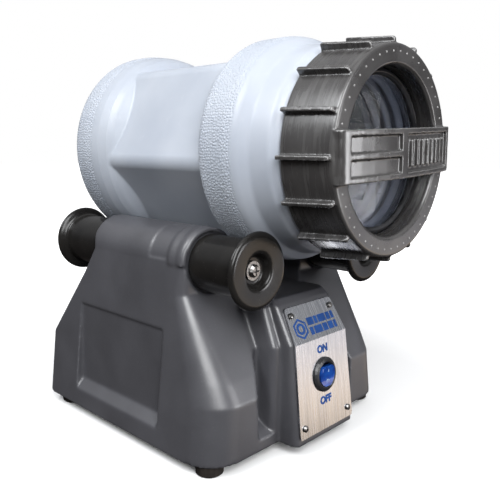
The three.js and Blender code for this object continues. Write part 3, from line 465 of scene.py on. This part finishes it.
MATERIALS = {
    "housing_plastic": housing_plastic(),
    "drum_plastic": drum_plastic(),
    "collar_plastic": collar_plastic(),
    "roller_plastic": roller_plastic(),
    "black_plastic": black_plastic(),
    "foot_rubber": rubber("foot_rubber", (0.012, 0.01, 0.009), (0.026, 0.021, 0.018)),
    "liner_rubber": rubber("liner_rubber", (0.02, 0.023, 0.03), (0.04, 0.046, 0.06)),
    "plate_aluminium": brushed_aluminium(),
    "steel": bare_metal("steel", (0.2, 0.195, 0.19), (0.33, 0.32, 0.31)),
    "bronze": bare_metal("bronze", (0.42, 0.25, 0.11), (0.58, 0.37, 0.19), 0.35, 0.5),
    "lens_plastic": clear_plastic(),
    "rocker_plastic": blue_plastic(),
    "motor_paint": plain_plastic("motor_paint", (0.02, 0.021, 0.024), (0.035, 0.037, 0.04), 0.35),
    "pulley_plastic": plain_plastic("pulley_plastic", (0.66, 0.64, 0.56), (0.76, 0.74, 0.66), 0.45),
}
BLUE_INK = rubber("blue_ink", (0.006, 0.04, 0.17), (0.012, 0.065, 0.25))
PALE_MARK = rubber("pale_mark", (0.3, 0.42, 0.6), (0.42, 0.55, 0.72))

for part in frame["record"]["subparts"]:
    node = nodes[part["node"]]
    node.data.materials.clear()
    node.data.materials.append(MATERIALS[part["material_slot"]])
    shade(node.data, 35)


# ---- Base housing ----
WALL = 3.0
FOOT_HEIGHT = 8.0
BASE_HALF = 100.0
REAR_CORNER = 5.0
SIDE_DRAFT = 0.11
SHOULDER_FRONT, SHOULDER_REAR, SHOULDER_RADIUS = 60.0, 48.0, 24.0
SLOPE_TOP = 115.0
CRADLE_FLOOR = 106.0
END_RECESS, END_RECESS_RADIUS = 2.5, 21.2
CONSOLE = [(8.0, 34.0, -116.5), (79.0, 33.0, -107.8), (104.0, 31.5, -93.0)]
PLINTH = [(8.0, 41.0, -100.0), (77.0, 40.0, -99.0), (103.0, 38.0, -87.0)]
PLATE_SCREWS = [(-25.5, 20.0), (25.5, 20.0), (-22.5, 96.0), (22.5, 96.0)]
SWITCH_Z = 52.0
SWITCH_BODY_RADIUS = 10.0


def rectangle_ring(half_width, front, rear, corner, z, per_corner=18, rear_corner=None):
    back = rear_corner or corner
    corners = [
        (half_width - back, rear - back, back),
        (back - half_width, rear - back, back),
        (corner - half_width, front + corner, corner),
        (half_width - corner, front + corner, corner),
    ]
    return [
        (x, y, z)
        for quarter, (cx, cy, radius) in enumerate(corners)
        for x, y in arc(cx, cy, radius, quarter * 90, quarter * 90 + 90, per_corner)
    ]


def open_below(z, inset):
    """The height of a section, lowered at the inside's bottom so that the underside stays open."""
    return z - 1 if inset and z == FOOT_HEIGHT else z


def base_block(inset):
    def section(z, front, rear, corner):
        half = BASE_HALF - SIDE_DRAFT * (min(z, ROLLER_Z) - FOOT_HEIGHT) - inset
        front_corner, rear_corner = (max(c - inset, 2) for c in (corner, REAR_CORNER))
        return rectangle_ring(half, inset - front, rear - inset, front_corner, z, 18, rear_corner)

    return loft(
        "base_block",
        [
            section(open_below(FOOT_HEIGHT, inset), BASE_HALF, BASE_HALF, 25),
            section(46, 98.5, BASE_HALF, 25),
            section(60, 91.5, BASE_HALF, 22),
            section(SLOPE_TOP, SHOULDER_FRONT, SHOULDER_REAR + 12, 8),
            section(ROLLER_Z, SHOULDER_FRONT, SHOULDER_REAR, 6),
            section(ROLLER_Z + 40, SHOULDER_FRONT, SHOULDER_REAR, 6),
        ],
    )


def front_outline(inset):
    """The base seen from the front: two round shoulders with the drum's cradle between them."""
    radius, floor = SHOULDER_RADIUS - inset, CRADLE_FLOOR - inset
    right = [(0, 0), (BASE_HALF + 5, 0), (BASE_HALF + 5, ROLLER_Z)]
    right += arc(ROLLER_X, ROLLER_Z, radius, 0, 180, 48)
    inner = ROLLER_X - radius
    right += bezier((inner - 3, floor + 12), (inner - 6, floor), (inner - 16, floor))
    left = [(-x, z) for x, z in reversed(right) if x > 0]
    return prism_y("front_outline", [*right[1:], *left], -130, 130)


def front_block(sections, inset):
    def ring(half, front, z):
        return rectangle_ring(half - inset, front + inset, -40, 5 - inset / 2, z, 8)

    rings = [ring(half, front, open_below(z, inset)) for z, half, front in sections]
    top_z, top_half, top_front = sections[-1]
    return loft("front_block", [*rings, ring(top_half - 2, top_front + 4, top_z + 4 - inset)])


def side_pocket(grow):
    outline = [
        (-110 - grow, 12 - grow),
        (-98.6, 21 - grow),
        (-91.6 + grow, 28.5 - grow),
        (-89.8 + grow, 90 + grow),
        (-110 - grow, 90 + grow),
    ]
    return prism_y("side_pocket", outline, -43 - grow, 59 + grow)


def front_pocket(grow):
    outline = [
        (-30 + grow, 12 - grow),
        (-30 + grow, 80 + grow),
        (-43 - grow, 80 + grow),
        (-45 - grow, 72),
        (-50 - grow, 58),
        (-55 - grow, 44),
        (-54 - grow, 12 - grow),
    ]
    depth = [
        (-106 - grow, 13 - grow),
        (-85 + grow, 24 - grow),
        (-83 + grow, 80 + grow),
        (-106 - grow, 80 + grow),
    ]
    seen_from_front = prism_y("front_pocket", outline, -120, -50)
    return combine(seen_from_front, "INTERSECT", prism_x("depth", depth, -90, 0))


def round_left_shoulder(name, profile, bottom):
    """The part of a ring round the left shoulder that faces out and lies above a height."""
    ring = lathe(name, profile, -ROLLER_X, ROLLER_Z, 160)
    outside = block("outside", -ROLLER_X - 40, -ROLLER_X, -70, 0, bottom, ROLLER_Z + 40)
    return combine(ring, "INTERSECT", outside)


def shoulder_lip():
    """The raised lip at the front of the left shoulder."""
    profile = [(-4, 0.5), (-1, 0.5), (1, 2), (1.2, 5), (0.4, 9), (1, 15), (-0.2, 18), (-4, 18)]
    placed = [(SHOULDER_RADIUS + r, y - SHOULDER_FRONT) for r, y in profile]
    return round_left_shoulder("lip", placed, ROLLER_Z)


def shoulder_panel():
    """The shallow panel behind that lip."""
    inner, outer = SHOULDER_RADIUS - 0.8, SHOULDER_RADIUS + 3
    profile = [(inner, -42), (outer, -42), (outer, -22), (inner, -22)]
    return round_left_shoulder("panel", profile, ROLLER_Z + 2)


def rod(radius, y0, y1, x=0.0, z=0.0, segments=64):
    return lathe("rod", [(0, y0), (radius, y0), (radius, y1), (0, y1)], x, z, segments, closed=False)


def console_point(z):
    """How far forward the console reaches at a height, and how far it leans back there."""
    a, b = CONSOLE[:2] if z <= CONSOLE[1][0] else CONSOLE[1:]
    y = a[2] + (b[2] - a[2]) * (z - a[0]) / (b[0] - a[0])
    return y, math.atan2(b[2] - a[2], b[0] - a[0])


def on_console(mesh, x, z):
    """Puts a mesh made about the origin on the console's front, square to it there."""
    y, lean = console_point(z)
    origin = Vector((0, MIDDLE_Y * MM, 0))
    place = Vector((x * MM, (y + MIDDLE_Y) * MM, z * MM))
    turn = Matrix.Rotation(-lean, 4, "X")
    mesh.transform(Matrix.Translation(place) @ turn @ Matrix.Translation(-origin))
    return mesh


def both_sides(*meshes):
    """Each mesh, followed by its mirror image."""
    return [side for mesh in meshes for side in (mesh, mirrored(mesh))]


def housing_mesh():
    cuts = both_sides(side_pocket(0), front_pocket(0), shoulder_panel())
    outside = combine(base_block(0), "INTERSECT", front_outline(0))
    outside = combine(outside, "UNION", *both_sides(shoulder_lip()))
    outside = combine(outside, "DIFFERENCE", *cuts)
    outside = combine(outside, "UNION", front_block(PLINTH, 0), front_block(CONSOLE, 0))
    end_wall = END_RECESS + WALL
    inside = combine(base_block(WALL), "INTERSECT", front_outline(WALL))
    inside = combine(
        inside,
        "DIFFERENCE",
        *both_sides(side_pocket(WALL), front_pocket(WALL)),
        block("end", -120, 120, -SHOULDER_FRONT, -SHOULDER_FRONT + end_wall, SLOPE_TOP, 170),
        block("end", -120, 120, SHOULDER_REAR - end_wall, SHOULDER_REAR + 8, SLOPE_TOP, 170),
    )
    inside = combine(inside, "UNION", front_block(PLINTH, WALL), front_block(CONSOLE, WALL))
    holes = [inside]
    for x in (-ROLLER_X, ROLLER_X):
        holes.append(rod(7 + GAP, -70, 70, x, ROLLER_Z))
        holes.append(rod(END_RECESS_RADIUS, -80, -SHOULDER_FRONT + END_RECESS, x, ROLLER_Z, 128))
        holes.append(rod(END_RECESS_RADIUS, SHOULDER_REAR - END_RECESS, 80, x, ROLLER_Z, 128))
    holes.append(rod(6 + GAP, 90, 110, -58, 27))
    holes.append(on_console(rod(SWITCH_BODY_RADIUS + GAP, -10, 10), 0, SWITCH_Z))
    return moulded(combine(outside, "DIFFERENCE", *holes), 1.0, 6, 0.35)


housing = housing_mesh()
piece("housing", housing, "base", MATERIALS["housing_plastic"], ["base_housing"], 60)


# ---- Drum ----
HEX_APOTHEM, HEX_EDGE_RADIUS = 63.6, 11.0
NECK_RADIUS, NECK_INNER, NECK_LIP = 61.5, 55.5, -142.0
DRUM_STATIONS = [  # whether it is round, radius of the circle, y
    (1, 47, 84),
    (1, 50, 88),
    (1, 66, 88),
    (1, 72.5, 86),
    (1, 75.6, 83),
    (1, DRUM_RADIUS, 79),
    (1, DRUM_RADIUS, 68),
    (1, DRUM_RADIUS - 0.8, 62),
    (1, 75, 54),
    (0, 72.6, 46),
    (0, 70, 41),
    (0, 63, 34),
    (0, 60, 30),
    (0, 60, -56),
    (0, 63, -57),
    (0, 70, -60),
    (1, 75.6, -63),
    (1, DRUM_RADIUS, -66),
    (1, DRUM_RADIUS, -86),
    (1, DRUM_RADIUS - 0.8, -91),
    (1, 75, -95),
    (1, 72.4, -99),
    (1, 70.2, -102),
    (1, 69.4, -107),
    (1, 68.2, -116),
    (1, 66.7, -118.5),
    (1, 65.8, -122),
    (1, 64, -123),
    (1, NECK_RADIUS, -123),
    (1, NECK_RADIUS, NECK_LIP),
    (1, NECK_INNER, NECK_LIP),
]
RIM_BANDS = [(60.0, 85.0), (-92.5, -62.0)]
GRAIN_DEPTH = 0.5
CREASE = 1.2  # half-width of the blend where the round ends meet the hexagon


def hex_radius(angles, offset=0.0):
    """Radius of the round-edged hexagon at angles about the axis. A corner points along +X."""
    apothem, edge = HEX_APOTHEM + offset, HEX_EDGE_RADIUS + offset
    sixth = math.pi / 3
    from_corner = np.abs((angles - math.pi / 2 + 10.5 * sixth) % sixth - sixth / 2)
    centre = (apothem - edge) / math.cos(math.pi / 6)
    tangent = math.atan2(edge / 2, centre + edge * math.cos(math.pi / 6))
    flat = apothem / np.cos(math.pi / 6 - from_corner)
    bend = np.maximum(edge**2 - (centre * np.sin(from_corner)) ** 2, 0)
    return np.where(from_corner > tangent, flat, centre * np.cos(from_corner) + np.sqrt(bend))


def pebbles(across, along, around, cell, seed):
    """Height, 0 to 1, of a leathery grain of pebbles on a band that wraps after around millimetres."""
    rng = np.random.default_rng(seed)
    columns = round(around / cell)
    width = around / columns
    rows = math.ceil((along.max() - along.min()) / cell) + 3
    jitter = rng.uniform(0.1, 0.9, (rows, columns, 2))
    u, v = across / width, (along - along.min()) / cell + 1
    column, row = np.floor(u).astype(int), np.floor(v).astype(int)
    nearest, second = np.full(u.shape, 9.0), np.full(u.shape, 9.0)
    for dr in (-1, 0, 1):
        for dc in (-1, 0, 1):
            r, c = np.clip(row + dr, 0, rows - 1), column + dc
            point = jitter[r, c % columns]
            distance = np.hypot(c + point[..., 0] - u, r + point[..., 1] - v)
            second = np.minimum(second, np.maximum(distance, nearest))
            nearest = np.minimum(nearest, distance)
    return np.clip((second - nearest) * 2.2, 0, 1)


def drum_rows():
    """Stations close enough together for the grain and for the creases of the round ends."""
    stations = soften([(s * 40, r, y) for s, r, y in DRUM_STATIONS], 1.8, 6)
    rows = [stations[0]]
    for a, b in zip(stations, stations[1:]):
        middle = (a[2] + b[2]) / 2
        fine = any(low - 1 < middle < high + 1 for low, high in RIM_BANDS)
        crease = 28 < middle < 60 or -63 < middle < -54
        rows.extend(resample([a, b], 0.45 if fine else 0.7 if crease else 3.0)[1:])
    return np.array(rows)


def drum_mesh():
    segments = 960
    angles = np.linspace(0, 2 * math.pi, segments, endpoint=False)
    rows = drum_rows()
    is_round, circle = rows[:, :1] > 30, rows[:, 1:2]
    y = rows[:, 2:] + 0 * angles
    hexagon = hex_radius(angles)[None, :]
    overlap = np.maximum(CREASE - np.abs(hexagon - circle), 0) / CREASE
    outer = np.maximum(hexagon, circle) + CREASE / 4 * overlap**2
    radius = np.where(is_round, circle, outer)
    for seed, (low, high) in enumerate(RIM_BANDS):
        fade = np.clip((y - low) / 2.5, 0, 1) * np.clip((high - y) / 2.5, 0, 1)
        inside = np.where((y[:, 0] > low - 2) & (y[:, 0] < high + 2))[0]
        band = slice(inside.min(), inside.max() + 1)
        around = 2 * math.pi * DRUM_RADIUS
        grain = pebbles(angles * DRUM_RADIUS + 0 * y[band], y[band], around, 1.9, seed)
        radius[band] -= GRAIN_DEPTH * (1 - grain) * fade[band] * (circle[band] > 70)
    floor = [(NECK_INNER, NECK_LIP), (NECK_INNER, -116), (60, -104), (60, 78), (47, 80.5)]
    inner = np.array([r for r, _ in floor])[:, None] + 0 * angles
    inner_y = np.array([v for _, v in floor])[:, None] + 0 * angles
    radius, y = np.vstack([radius, inner[1:]]), np.vstack([y, inner_y[1:]])
    turned = angles + DRUM_TURN
    points = np.stack([radius * np.sin(turned), y, DRUM_Z + radius * np.cos(turned)], -1)
    count = len(radius)
    faces = grid_faces(count, segments)
    faces += [tuple(range(segments))[::-1], tuple((count - 1) * segments + i for i in range(segments))]
    return clean(mesh_of("drum", points.reshape(-1, 3).tolist(), faces))


THREAD_PITCH = 7.0


def thread_mesh():
    """The neck's right-handed thread, one and a half turns."""
    per_turn, turns = 96, 1.5
    steps = round(per_turn * turns)
    rings = []
    for i in range(steps + 1):
        share = min(1, (min(i, steps - i) + 0.5) / 12)
        angle = i / per_turn * 2 * math.pi + DRUM_TURN
        y = NECK_LIP + 3 + i / per_turn * THREAD_PITCH
        corners = [
            (NECK_RADIUS - 0.6, -1.5),
            (NECK_RADIUS - 0.6 + 2.6 * share, -0.8),
            (NECK_RADIUS - 0.6 + 2.6 * share, 0.8),
            (NECK_RADIUS - 0.6, 1.5),
        ]
        rings.append([(r * math.sin(angle), y + dy, DRUM_Z + r * math.cos(angle)) for r, dy in corners])
    return loft("thread", rings)


def joined(meshes):
    work = bmesh.new()
    for mesh in meshes:
        work.from_mesh(mesh)
    made = bpy.data.meshes.new("joined")
    work.to_mesh(made)
    work.free()
    return made


drum = joined([drum_mesh(), thread_mesh()])
piece("drum_body", drum, "drum", MATERIALS["drum_plastic"], ["drum_shell"], 50)


# ---- Lid ----
def unfacet(mesh, count, turn, z):
    """Turns a lathe's flat facets about the drum's axis into true circles."""
    co = np.empty(len(mesh.vertices) * 3)
    mesh.vertices.foreach_get("co", co)
    co = co.reshape(-1, 3)
    dx, dz = co[:, 0], co[:, 2] - z * MM
    facet = 2 * math.pi / count
    angle = (np.arctan2(dx, dz) - turn) % facet
    scale = np.cos(angle - facet / 2) / math.cos(facet / 2)
    co[:, 0], co[:, 2] = dx * scale, dz * scale + z * MM
    mesh.vertices.foreach_set("co", co.ravel())
    return mesh


def collar_mesh():
    mesh = nodes["lid_collar"].data.copy()
    mesh = moulded(clean(mesh), 0.55, 1)
    unfacet(mesh, 40, COLLAR_TURN, DRUM_Z)
    work = new_object("work", mesh)
    smooth = work.modifiers.new("smooth", "SMOOTH")
    smooth.iterations = 4
    return baked(work)


collar = collar_mesh()
piece("collar", collar, "lid_ring", MATERIALS["collar_plastic"], ["lid_collar"], 60)

LENS_BACK = NECK_LIP - GAP - 2 - GAP
LENS_FRONT = LENS_BACK - 3.4
LENS_PROFILE = [
    (0, LENS_FRONT + 0.8),
    (47.5, LENS_FRONT + 0.8),
    (48.5, LENS_FRONT),
    (60.5, LENS_FRONT),
    (60.5, LENS_BACK),
    (51.5, LENS_BACK),
    (50.5, LENS_BACK + 3),
    (48, LENS_BACK + 3),
    (47, LENS_BACK),
    (0, LENS_BACK),
]
lens = lathe("lens", soften(LENS_PROFILE, 0.5), 0, DRUM_Z, 160, closed=False)
piece("lens", lens, "lid_window", MATERIALS["lens_plastic"], ["lid_lens"], 50)


LENS_RIM = [
    (47.6, LENS_FRONT + 0.5),
    (47.6, LENS_FRONT - 0.8),
    (49.6, LENS_FRONT - 2.4),
    (51.6, LENS_FRONT - 1.4),
    (52.2, LENS_FRONT + 0.1),
]
rim = lathe("lens_rim", soften([*LENS_RIM, LENS_RIM[0]], 0.5), 0, DRUM_Z, 160, closed=False)
piece("lens_rim", rim, "lid_window", black_plastic("rim_plastic", 0.06), (), 50)

RIDGE = [(53.0, 0), (49.2, 0.7), (48.2, 1.6), (48.2, 2.8), (49.2, 3.6), (53.0, 4.3)]
RIDGE_STARTS = (-138.0, -129.0, -120.0, -112.0)
ridges = []
for start in RIDGE_STARTS:
    outline = soften([(r, start + y) for r, y in [*RIDGE, RIDGE[0]]], 0.4)
    ridges.append(lathe("ridge", outline, 0, DRUM_Z, 128, closed=False))
# The ridges catch the lamps through the window, and their rubber is coloured far lighter than the liner's as well:
# painted light for the bright bands inside the neck.
LIT_RIDGE_RUBBER = rubber("lit_ridge_rubber", (0.12, 0.14, 0.19), (0.19, 0.21, 0.28))
piece("liner_ridges", joined(ridges), "drum", LIT_RIDGE_RUBBER, (), 40)


# ---- Rollers ----
TREAD_RADIUS, FLANGE_RADIUS, FLANGE_WIDTH = 19.8, 26.0, 6.5
RECESS_DEPTH, RECESS_RADIUS = 7.0, 12.0


def roller_mesh(shoulder_end, flange, x, facing):
    start = shoulder_end - END_RECESS + 1
    face = flange + FLANGE_WIDTH
    hub = face - RECESS_DEPTH
    profile = [
        (4.2, start),
        (TREAD_RADIUS - 1.2, start),
        (TREAD_RADIUS, start + 1.2),
        (TREAD_RADIUS, flange - 1),
        (TREAD_RADIUS + 1.2, flange + 0.6),
        (FLANGE_RADIUS - 1.6, flange + 2),
        (FLANGE_RADIUS, flange + 3.6),
        (FLANGE_RADIUS - 0.8, flange + 5.5),
        (FLANGE_RADIUS - 3, face),
        (RECESS_RADIUS + 1, face - 0.7),
        (RECESS_RADIUS - 0.6, face - 1.6),
        (RECESS_RADIUS - 2.4, hub),
        (4.2, hub),
    ]
    rounded = soften([*profile, profile[0]], 1.3, 5)
    return lathe("roller", [(r, facing * y) for r, y in rounded], x, ROLLER_Z, 128, closed=False)


for side, x in (("idler", -ROLLER_X), ("drive", ROLLER_X)):
    for end, shoulder, flange, facing in (
        ("front", SHOULDER_FRONT, 98.8, -1),
        ("rear", SHOULDER_REAR, 93.0, 1),
    ):
        node, body = f"{side}_roller_{end}", f"{side}_rollers"
        mesh = roller_mesh(shoulder, flange, x, facing)
        piece(f"{node}_turned", mesh, body, MATERIALS["roller_plastic"], [node], 50)


# ---- Screws in view ----
def pan_screw(radius, height, shank, length):
    """A crosshead screw with its seat at y 0 and its head towards the front."""
    profile = [
        (0, -height),
        (radius * 0.45, -height),
        (radius * 0.82, -height * 0.8),
        (radius, -height * 0.4),
        (radius, 0),
        (shank, 0),
        (shank, length - shank),
        (0, length),
    ]
    head = lathe("screw", profile, segments=48, closed=False)
    arm, half, floor = radius * 0.58, radius * 0.13, -height * 0.35
    across = block("arm", -arm, arm, -height - 1, floor, -half, half)
    upright = block("arm", -half, half, -height - 1, floor, -arm, arm)
    return combine(head, "DIFFERENCE", across, upright)


SCREW_SEAT = 1.8  # how far the heads' undersides stand in front of the console

for index, (x, z) in enumerate(PLATE_SCREWS, 1):
    screw = pan_screw(2.3, 1.4, 0.9, 7)
    screw.transform(Matrix.Translation((0, -SCREW_SEAT * MM, 0)))
    name = f"plate_screw_{index}"
    piece(f"{name}_turned", on_console(screw, x, z), "base", MATERIALS["steel"], [name], 30)


# ---- Rocker and lid marks ----
ROCKER_TILT = math.radians(9)
ROCKER_OUT = 2.2
MARK_FRONT, MARK_BACK = -3.06, -2.7
MARK_Z = 4.2


def mark_mesh(shape, z):
    """A mark on the rocker's face, where the rocker is at rest."""
    middle = Vector((0, MIDDLE_Y * MM, 0))
    lift = Matrix.Translation((0, -ROCKER_OUT * MM, 0)) @ Matrix.Rotation(ROCKER_TILT, 4, "X")
    shape.transform(Matrix.Translation((0, 0, z * MM)))
    shape.transform(Matrix.Translation(middle) @ lift @ Matrix.Translation(-middle))
    return on_console(shape, 0, SWITCH_Z)


ring = combine(rod(1.5, MARK_FRONT, MARK_BACK), "DIFFERENCE", rod(0.95, -4, -2))
bar = block("bar", -0.3, 0.3, MARK_FRONT, MARK_BACK, -1.4, 1.4)
for name, shape, z in (("rocker_mark_on", bar, MARK_Z), ("rocker_mark_off", ring, -MARK_Z)):
    piece(name, mark_mesh(shape, z), "rocker", PALE_MARK, (), 30)

DOT_COUNT, DOT_CIRCLE = 48, 60.5
COLLAR_FACE = -161.5
DOT = [(0, -0.35), (0.5, -0.3), (0.85, 0.3), (0, 0.3)]
dot_profile = [(r, COLLAR_FACE + y) for r, y in DOT]
dots = []
for index in range(DOT_COUNT):
    turn = 2 * math.pi * index / DOT_COUNT
    place = DOT_CIRCLE * math.sin(turn), DRUM_Z + DOT_CIRCLE * math.cos(turn)
    dots.append(lathe("dot", dot_profile, *place, segments=16, closed=False))
piece("collar_dots", joined(dots), "lid_ring", MATERIALS["collar_plastic"], (), 60)


# ---- Face plate print ----
PLATE_FACE = -GAP - 1.2  # the plate's front, from the console's
PRINT_SIZE, PRINT_REACH = 7.4, 18.5  # the size of ON and OFF, and how far each is from the switch
PRINT_PROUD, PRINT_DEEP = 0.16, 0.1  # how far the ink stands out of the plate and goes into it


def print_mesh(text, size):
    curve = bpy.data.curves.new(text, "FONT")
    curve.body = text
    curve.size = size * MM
    curve.align_x = "CENTER"
    curve.align_y = "CENTER"
    curve.extrude = 0.1 * MM
    curve.offset = 0.38 * MM
    curve.resolution_u = 6
    work = new_object("text", curve)
    evaluated = work.evaluated_get(bpy.context.evaluated_depsgraph_get())
    mesh = bpy.data.meshes.new_from_object(evaluated)
    bpy.data.objects.remove(work)
    upright = Matrix.Rotation(math.pi / 2, 4, "X")
    mesh.transform(Matrix.Translation((0, (MIDDLE_Y + PLATE_FACE - 0.06) * MM, 0)) @ upright)
    return mesh


def emblem_mesh():
    """A plain printed block: a hexagon with a ring in it, and two rows of bars beside it."""
    y0, y1 = PLATE_FACE - PRINT_PROUD, PLATE_FACE + PRINT_DEEP
    parts = []
    hexagon = [(7.6 * math.sin(a), 7.6 * math.cos(a)) for a in np.arange(6) * math.pi / 3]
    inner = [(x * 0.8, z * 0.8) for x, z in hexagon]
    hole = prism_y("inner", inner, y0 - 1, y1 + 1)
    border = combine(prism_y("hexagon", hexagon, y0, y1), "DIFFERENCE", hole)
    ring = combine(rod(4.2, y0, y1), "DIFFERENCE", rod(2.3, y0 - 1, y1 + 1))
    for part in (border, ring):
        part.transform(Matrix.Translation((-15.5 * MM, 0, 0)))
        parts.append(part)
    for z0, widths in ((0.7, (6.8, 3.4, 8.6, 4.4, 3.0)), (-6.4, (3.6, 8.8, 5.4, 5.4, 3.0))):
        x = -6.5
        for width in widths:
            parts.append(block("bar", x, x + width, y0, y1, z0, z0 + 5.6))
            x += width + 1.1
    return joined(parts)


def printed(name, mesh, x, z):
    lean = console_point(z)[1]
    mesh.transform(Matrix.Translation((0, (math.cos(lean) - 1) * PLATE_FACE * MM, 0)))
    piece(name, on_console(mesh, x, z), "base", BLUE_INK, (), 30)


printed("print_on", print_mesh("ON", PRINT_SIZE), 0, SWITCH_Z + PRINT_REACH)
printed("print_off", print_mesh("OFF", PRINT_SIZE), 0, SWITCH_Z - PRINT_REACH)
printed("print_emblem", emblem_mesh(), -2.0, 87.0)


# ---- Camera, floor and lights ----
CAMERA_PLACE = (-337.5, -355.4, 213.0)  # from the middle of the base
CAMERA_AZIMUTH, CAMERA_DOWN, CAMERA_ROLL = -46.78, 9.743, 0.504

azimuth, down = math.radians(CAMERA_AZIMUTH), math.radians(CAMERA_DOWN)
back = Vector((math.sin(azimuth) * math.cos(down), -math.cos(azimuth) * math.cos(down), math.sin(down)))
camera = bpy.data.objects.new("camera", bpy.data.cameras.new("camera"))
bpy.context.scene.collection.objects.link(camera)
camera.data.lens = 43.37
camera.data.sensor_width = 36
camera.data.clip_start = 0.01
camera.location = Vector(CAMERA_PLACE) * MM + Vector((0, MIDDLE_Y * MM, 0))
camera.rotation_mode = "QUATERNION"
roll = Matrix.Rotation(math.radians(CAMERA_ROLL), 4, "Z").to_quaternion()
camera.rotation_quaternion = (-back).to_track_quat("-Z", "Y") @ roll
bpy.context.scene.camera = camera


def softbox(name, azimuth_deg, height_deg, distance, width, height, power, colour=(1, 1, 1)):
    """A rectangular lamp aimed at the object's middle."""
    a, e = math.radians(azimuth_deg), math.radians(height_deg)
    middle = (cad_low + cad_high) / 2
    away = Vector((math.sin(a) * math.cos(e), -math.cos(a) * math.cos(e), math.sin(e)))
    lamp = bpy.data.objects.new(name, bpy.data.lights.new(name, "AREA"))
    bpy.context.scene.collection.objects.link(lamp)
    lamp.data.shape = "RECTANGLE"
    lamp.data.size = width
    lamp.data.size_y = height
    lamp.data.energy = power
    lamp.data.color = colour
    lamp.location = middle + away * distance
    lamp.visible_camera = False
    lamp.rotation_mode = "QUATERNION"
    lamp.rotation_quaternion = away.to_track_quat("Z", "Y")


softbox("key", -31, 33, 1.1, 0.6, 0.85, 15.0, (0.98, 0.99, 1.0))
softbox("left", -102, 44, 1.1, 0.5, 0.5, 8.4, (0.96, 0.98, 1.0))
softbox("top", -80, 78, 1.1, 0.7, 0.7, 0.8)
softbox("front", 24, 3, 1.1, 0.34, 0.42, 4.6, (0.98, 0.98, 1.0))

floor_mesh = bpy.data.meshes.new("floor")
floor_mesh.from_pydata([(-6, -6, 0), (6, -6, 0), (6, 6, 0), (-6, 6, 0)], [], [(0, 1, 2, 3)])
floor = new_object("floor", floor_mesh)
floor_shader = Shader("floor_paper", Roughness=0.9, Specular_IOR_Level=0.1)
PAPER = [(0.3, (0.93, 0.925, 0.92)), (0.7, (0.95, 0.95, 0.945))]
floor_colour = floor_shader.colours(floor_shader.noise(300, 2), *PAPER)
from_middle = floor_shader.node("ShaderNodeVectorMath", {0: floor_shader.place}, operation="LENGTH")
glow = floor_shader.spread(from_middle.outputs["Value"], 0.0, 1.0, 0.2, 0.75)
floor_shader.surface.inputs["Emission Color"].default_value = (1, 1, 1, 1)
floor_shader.tree.links.new(glow, floor_shader.surface.inputs["Emission Strength"])
floor_mesh.materials.append(floor_shader.done(floor_colour))
floor.visible_diffuse = False
floor.visible_glossy = False

world = bpy.data.worlds.new("studio")
bpy.context.scene.world = world
world.use_nodes = True
sky = world.node_tree
lit, seen = sky.nodes["Background"], sky.nodes.new("ShaderNodeBackground")
lit.inputs["Strength"].default_value = 0.8
seen.inputs["Color"].default_value = (1, 1, 1, 1)
SKY = [
    (0.0, (0.03, 0.028, 0.03)),
    (0.4, (0.07, 0.06, 0.055)),
    (0.54, (0.07, 0.07, 0.075)),
    (0.68, (0.4, 0.41, 0.43)),
    (1.0, (0.85, 0.85, 0.86)),
]
TABLE_GLOW = [  # a table top's edge and the wall above it, front right, as the face plate mirrors them
    (0.34, (0.0, 0.0, 0.0)),
    (0.36, (2.0, 1.6, 1.2)),
    (0.39, (2.0, 1.6, 1.2)),
    (0.4, (1.2, 1.2, 1.3)),
    (0.45, (1.1, 1.1, 1.2)),
    (0.47, (0.0, 0.0, 0.0)),
]
GLOW_TOWARDS = (0.73, -0.68, 0.0)


def sky_maths(operation, a, b, output="Vector"):
    return add_node(sky, "ShaderNodeVectorMath", {0: a, 1: b}, operation=operation).outputs[output]


def sky_range(value, **ends):
    inputs = {"Value": value, **{end.replace("_", " "): at for end, at in ends.items()}}
    return add_node(sky, "ShaderNodeMapRange", inputs).outputs["Result"]


direction = add_node(sky, "ShaderNodeTexCoord").outputs["Generated"]
upward = add_node(sky, "ShaderNodeSeparateXYZ", {0: direction}).outputs["Z"]
height = sky_range(upward, From_Min=-1)
facing = sky_maths("DOT_PRODUCT", direction, GLOW_TOWARDS, "Value")
share = sky_range(facing, From_Min=0.6, From_Max=0.85)
table = sky_maths("MULTIPLY", add_ramp(sky, height, TABLE_GLOW), share)
total = sky_maths("ADD", add_ramp(sky, height, SKY), table)
sky.links.new(total, lit.inputs["Color"])
both = sky.nodes.new("ShaderNodeMixShader")
sky.links.new(sky.nodes.new("ShaderNodeLightPath").outputs["Is Camera Ray"], both.inputs[0])
sky.links.new(lit.outputs[0], both.inputs[1])
sky.links.new(seen.outputs[0], both.inputs[2])
sky.links.new(both.outputs[0], sky.nodes["World Output"].inputs["Surface"])
bpy.context.scene.view_settings.view_transform = "Standard"
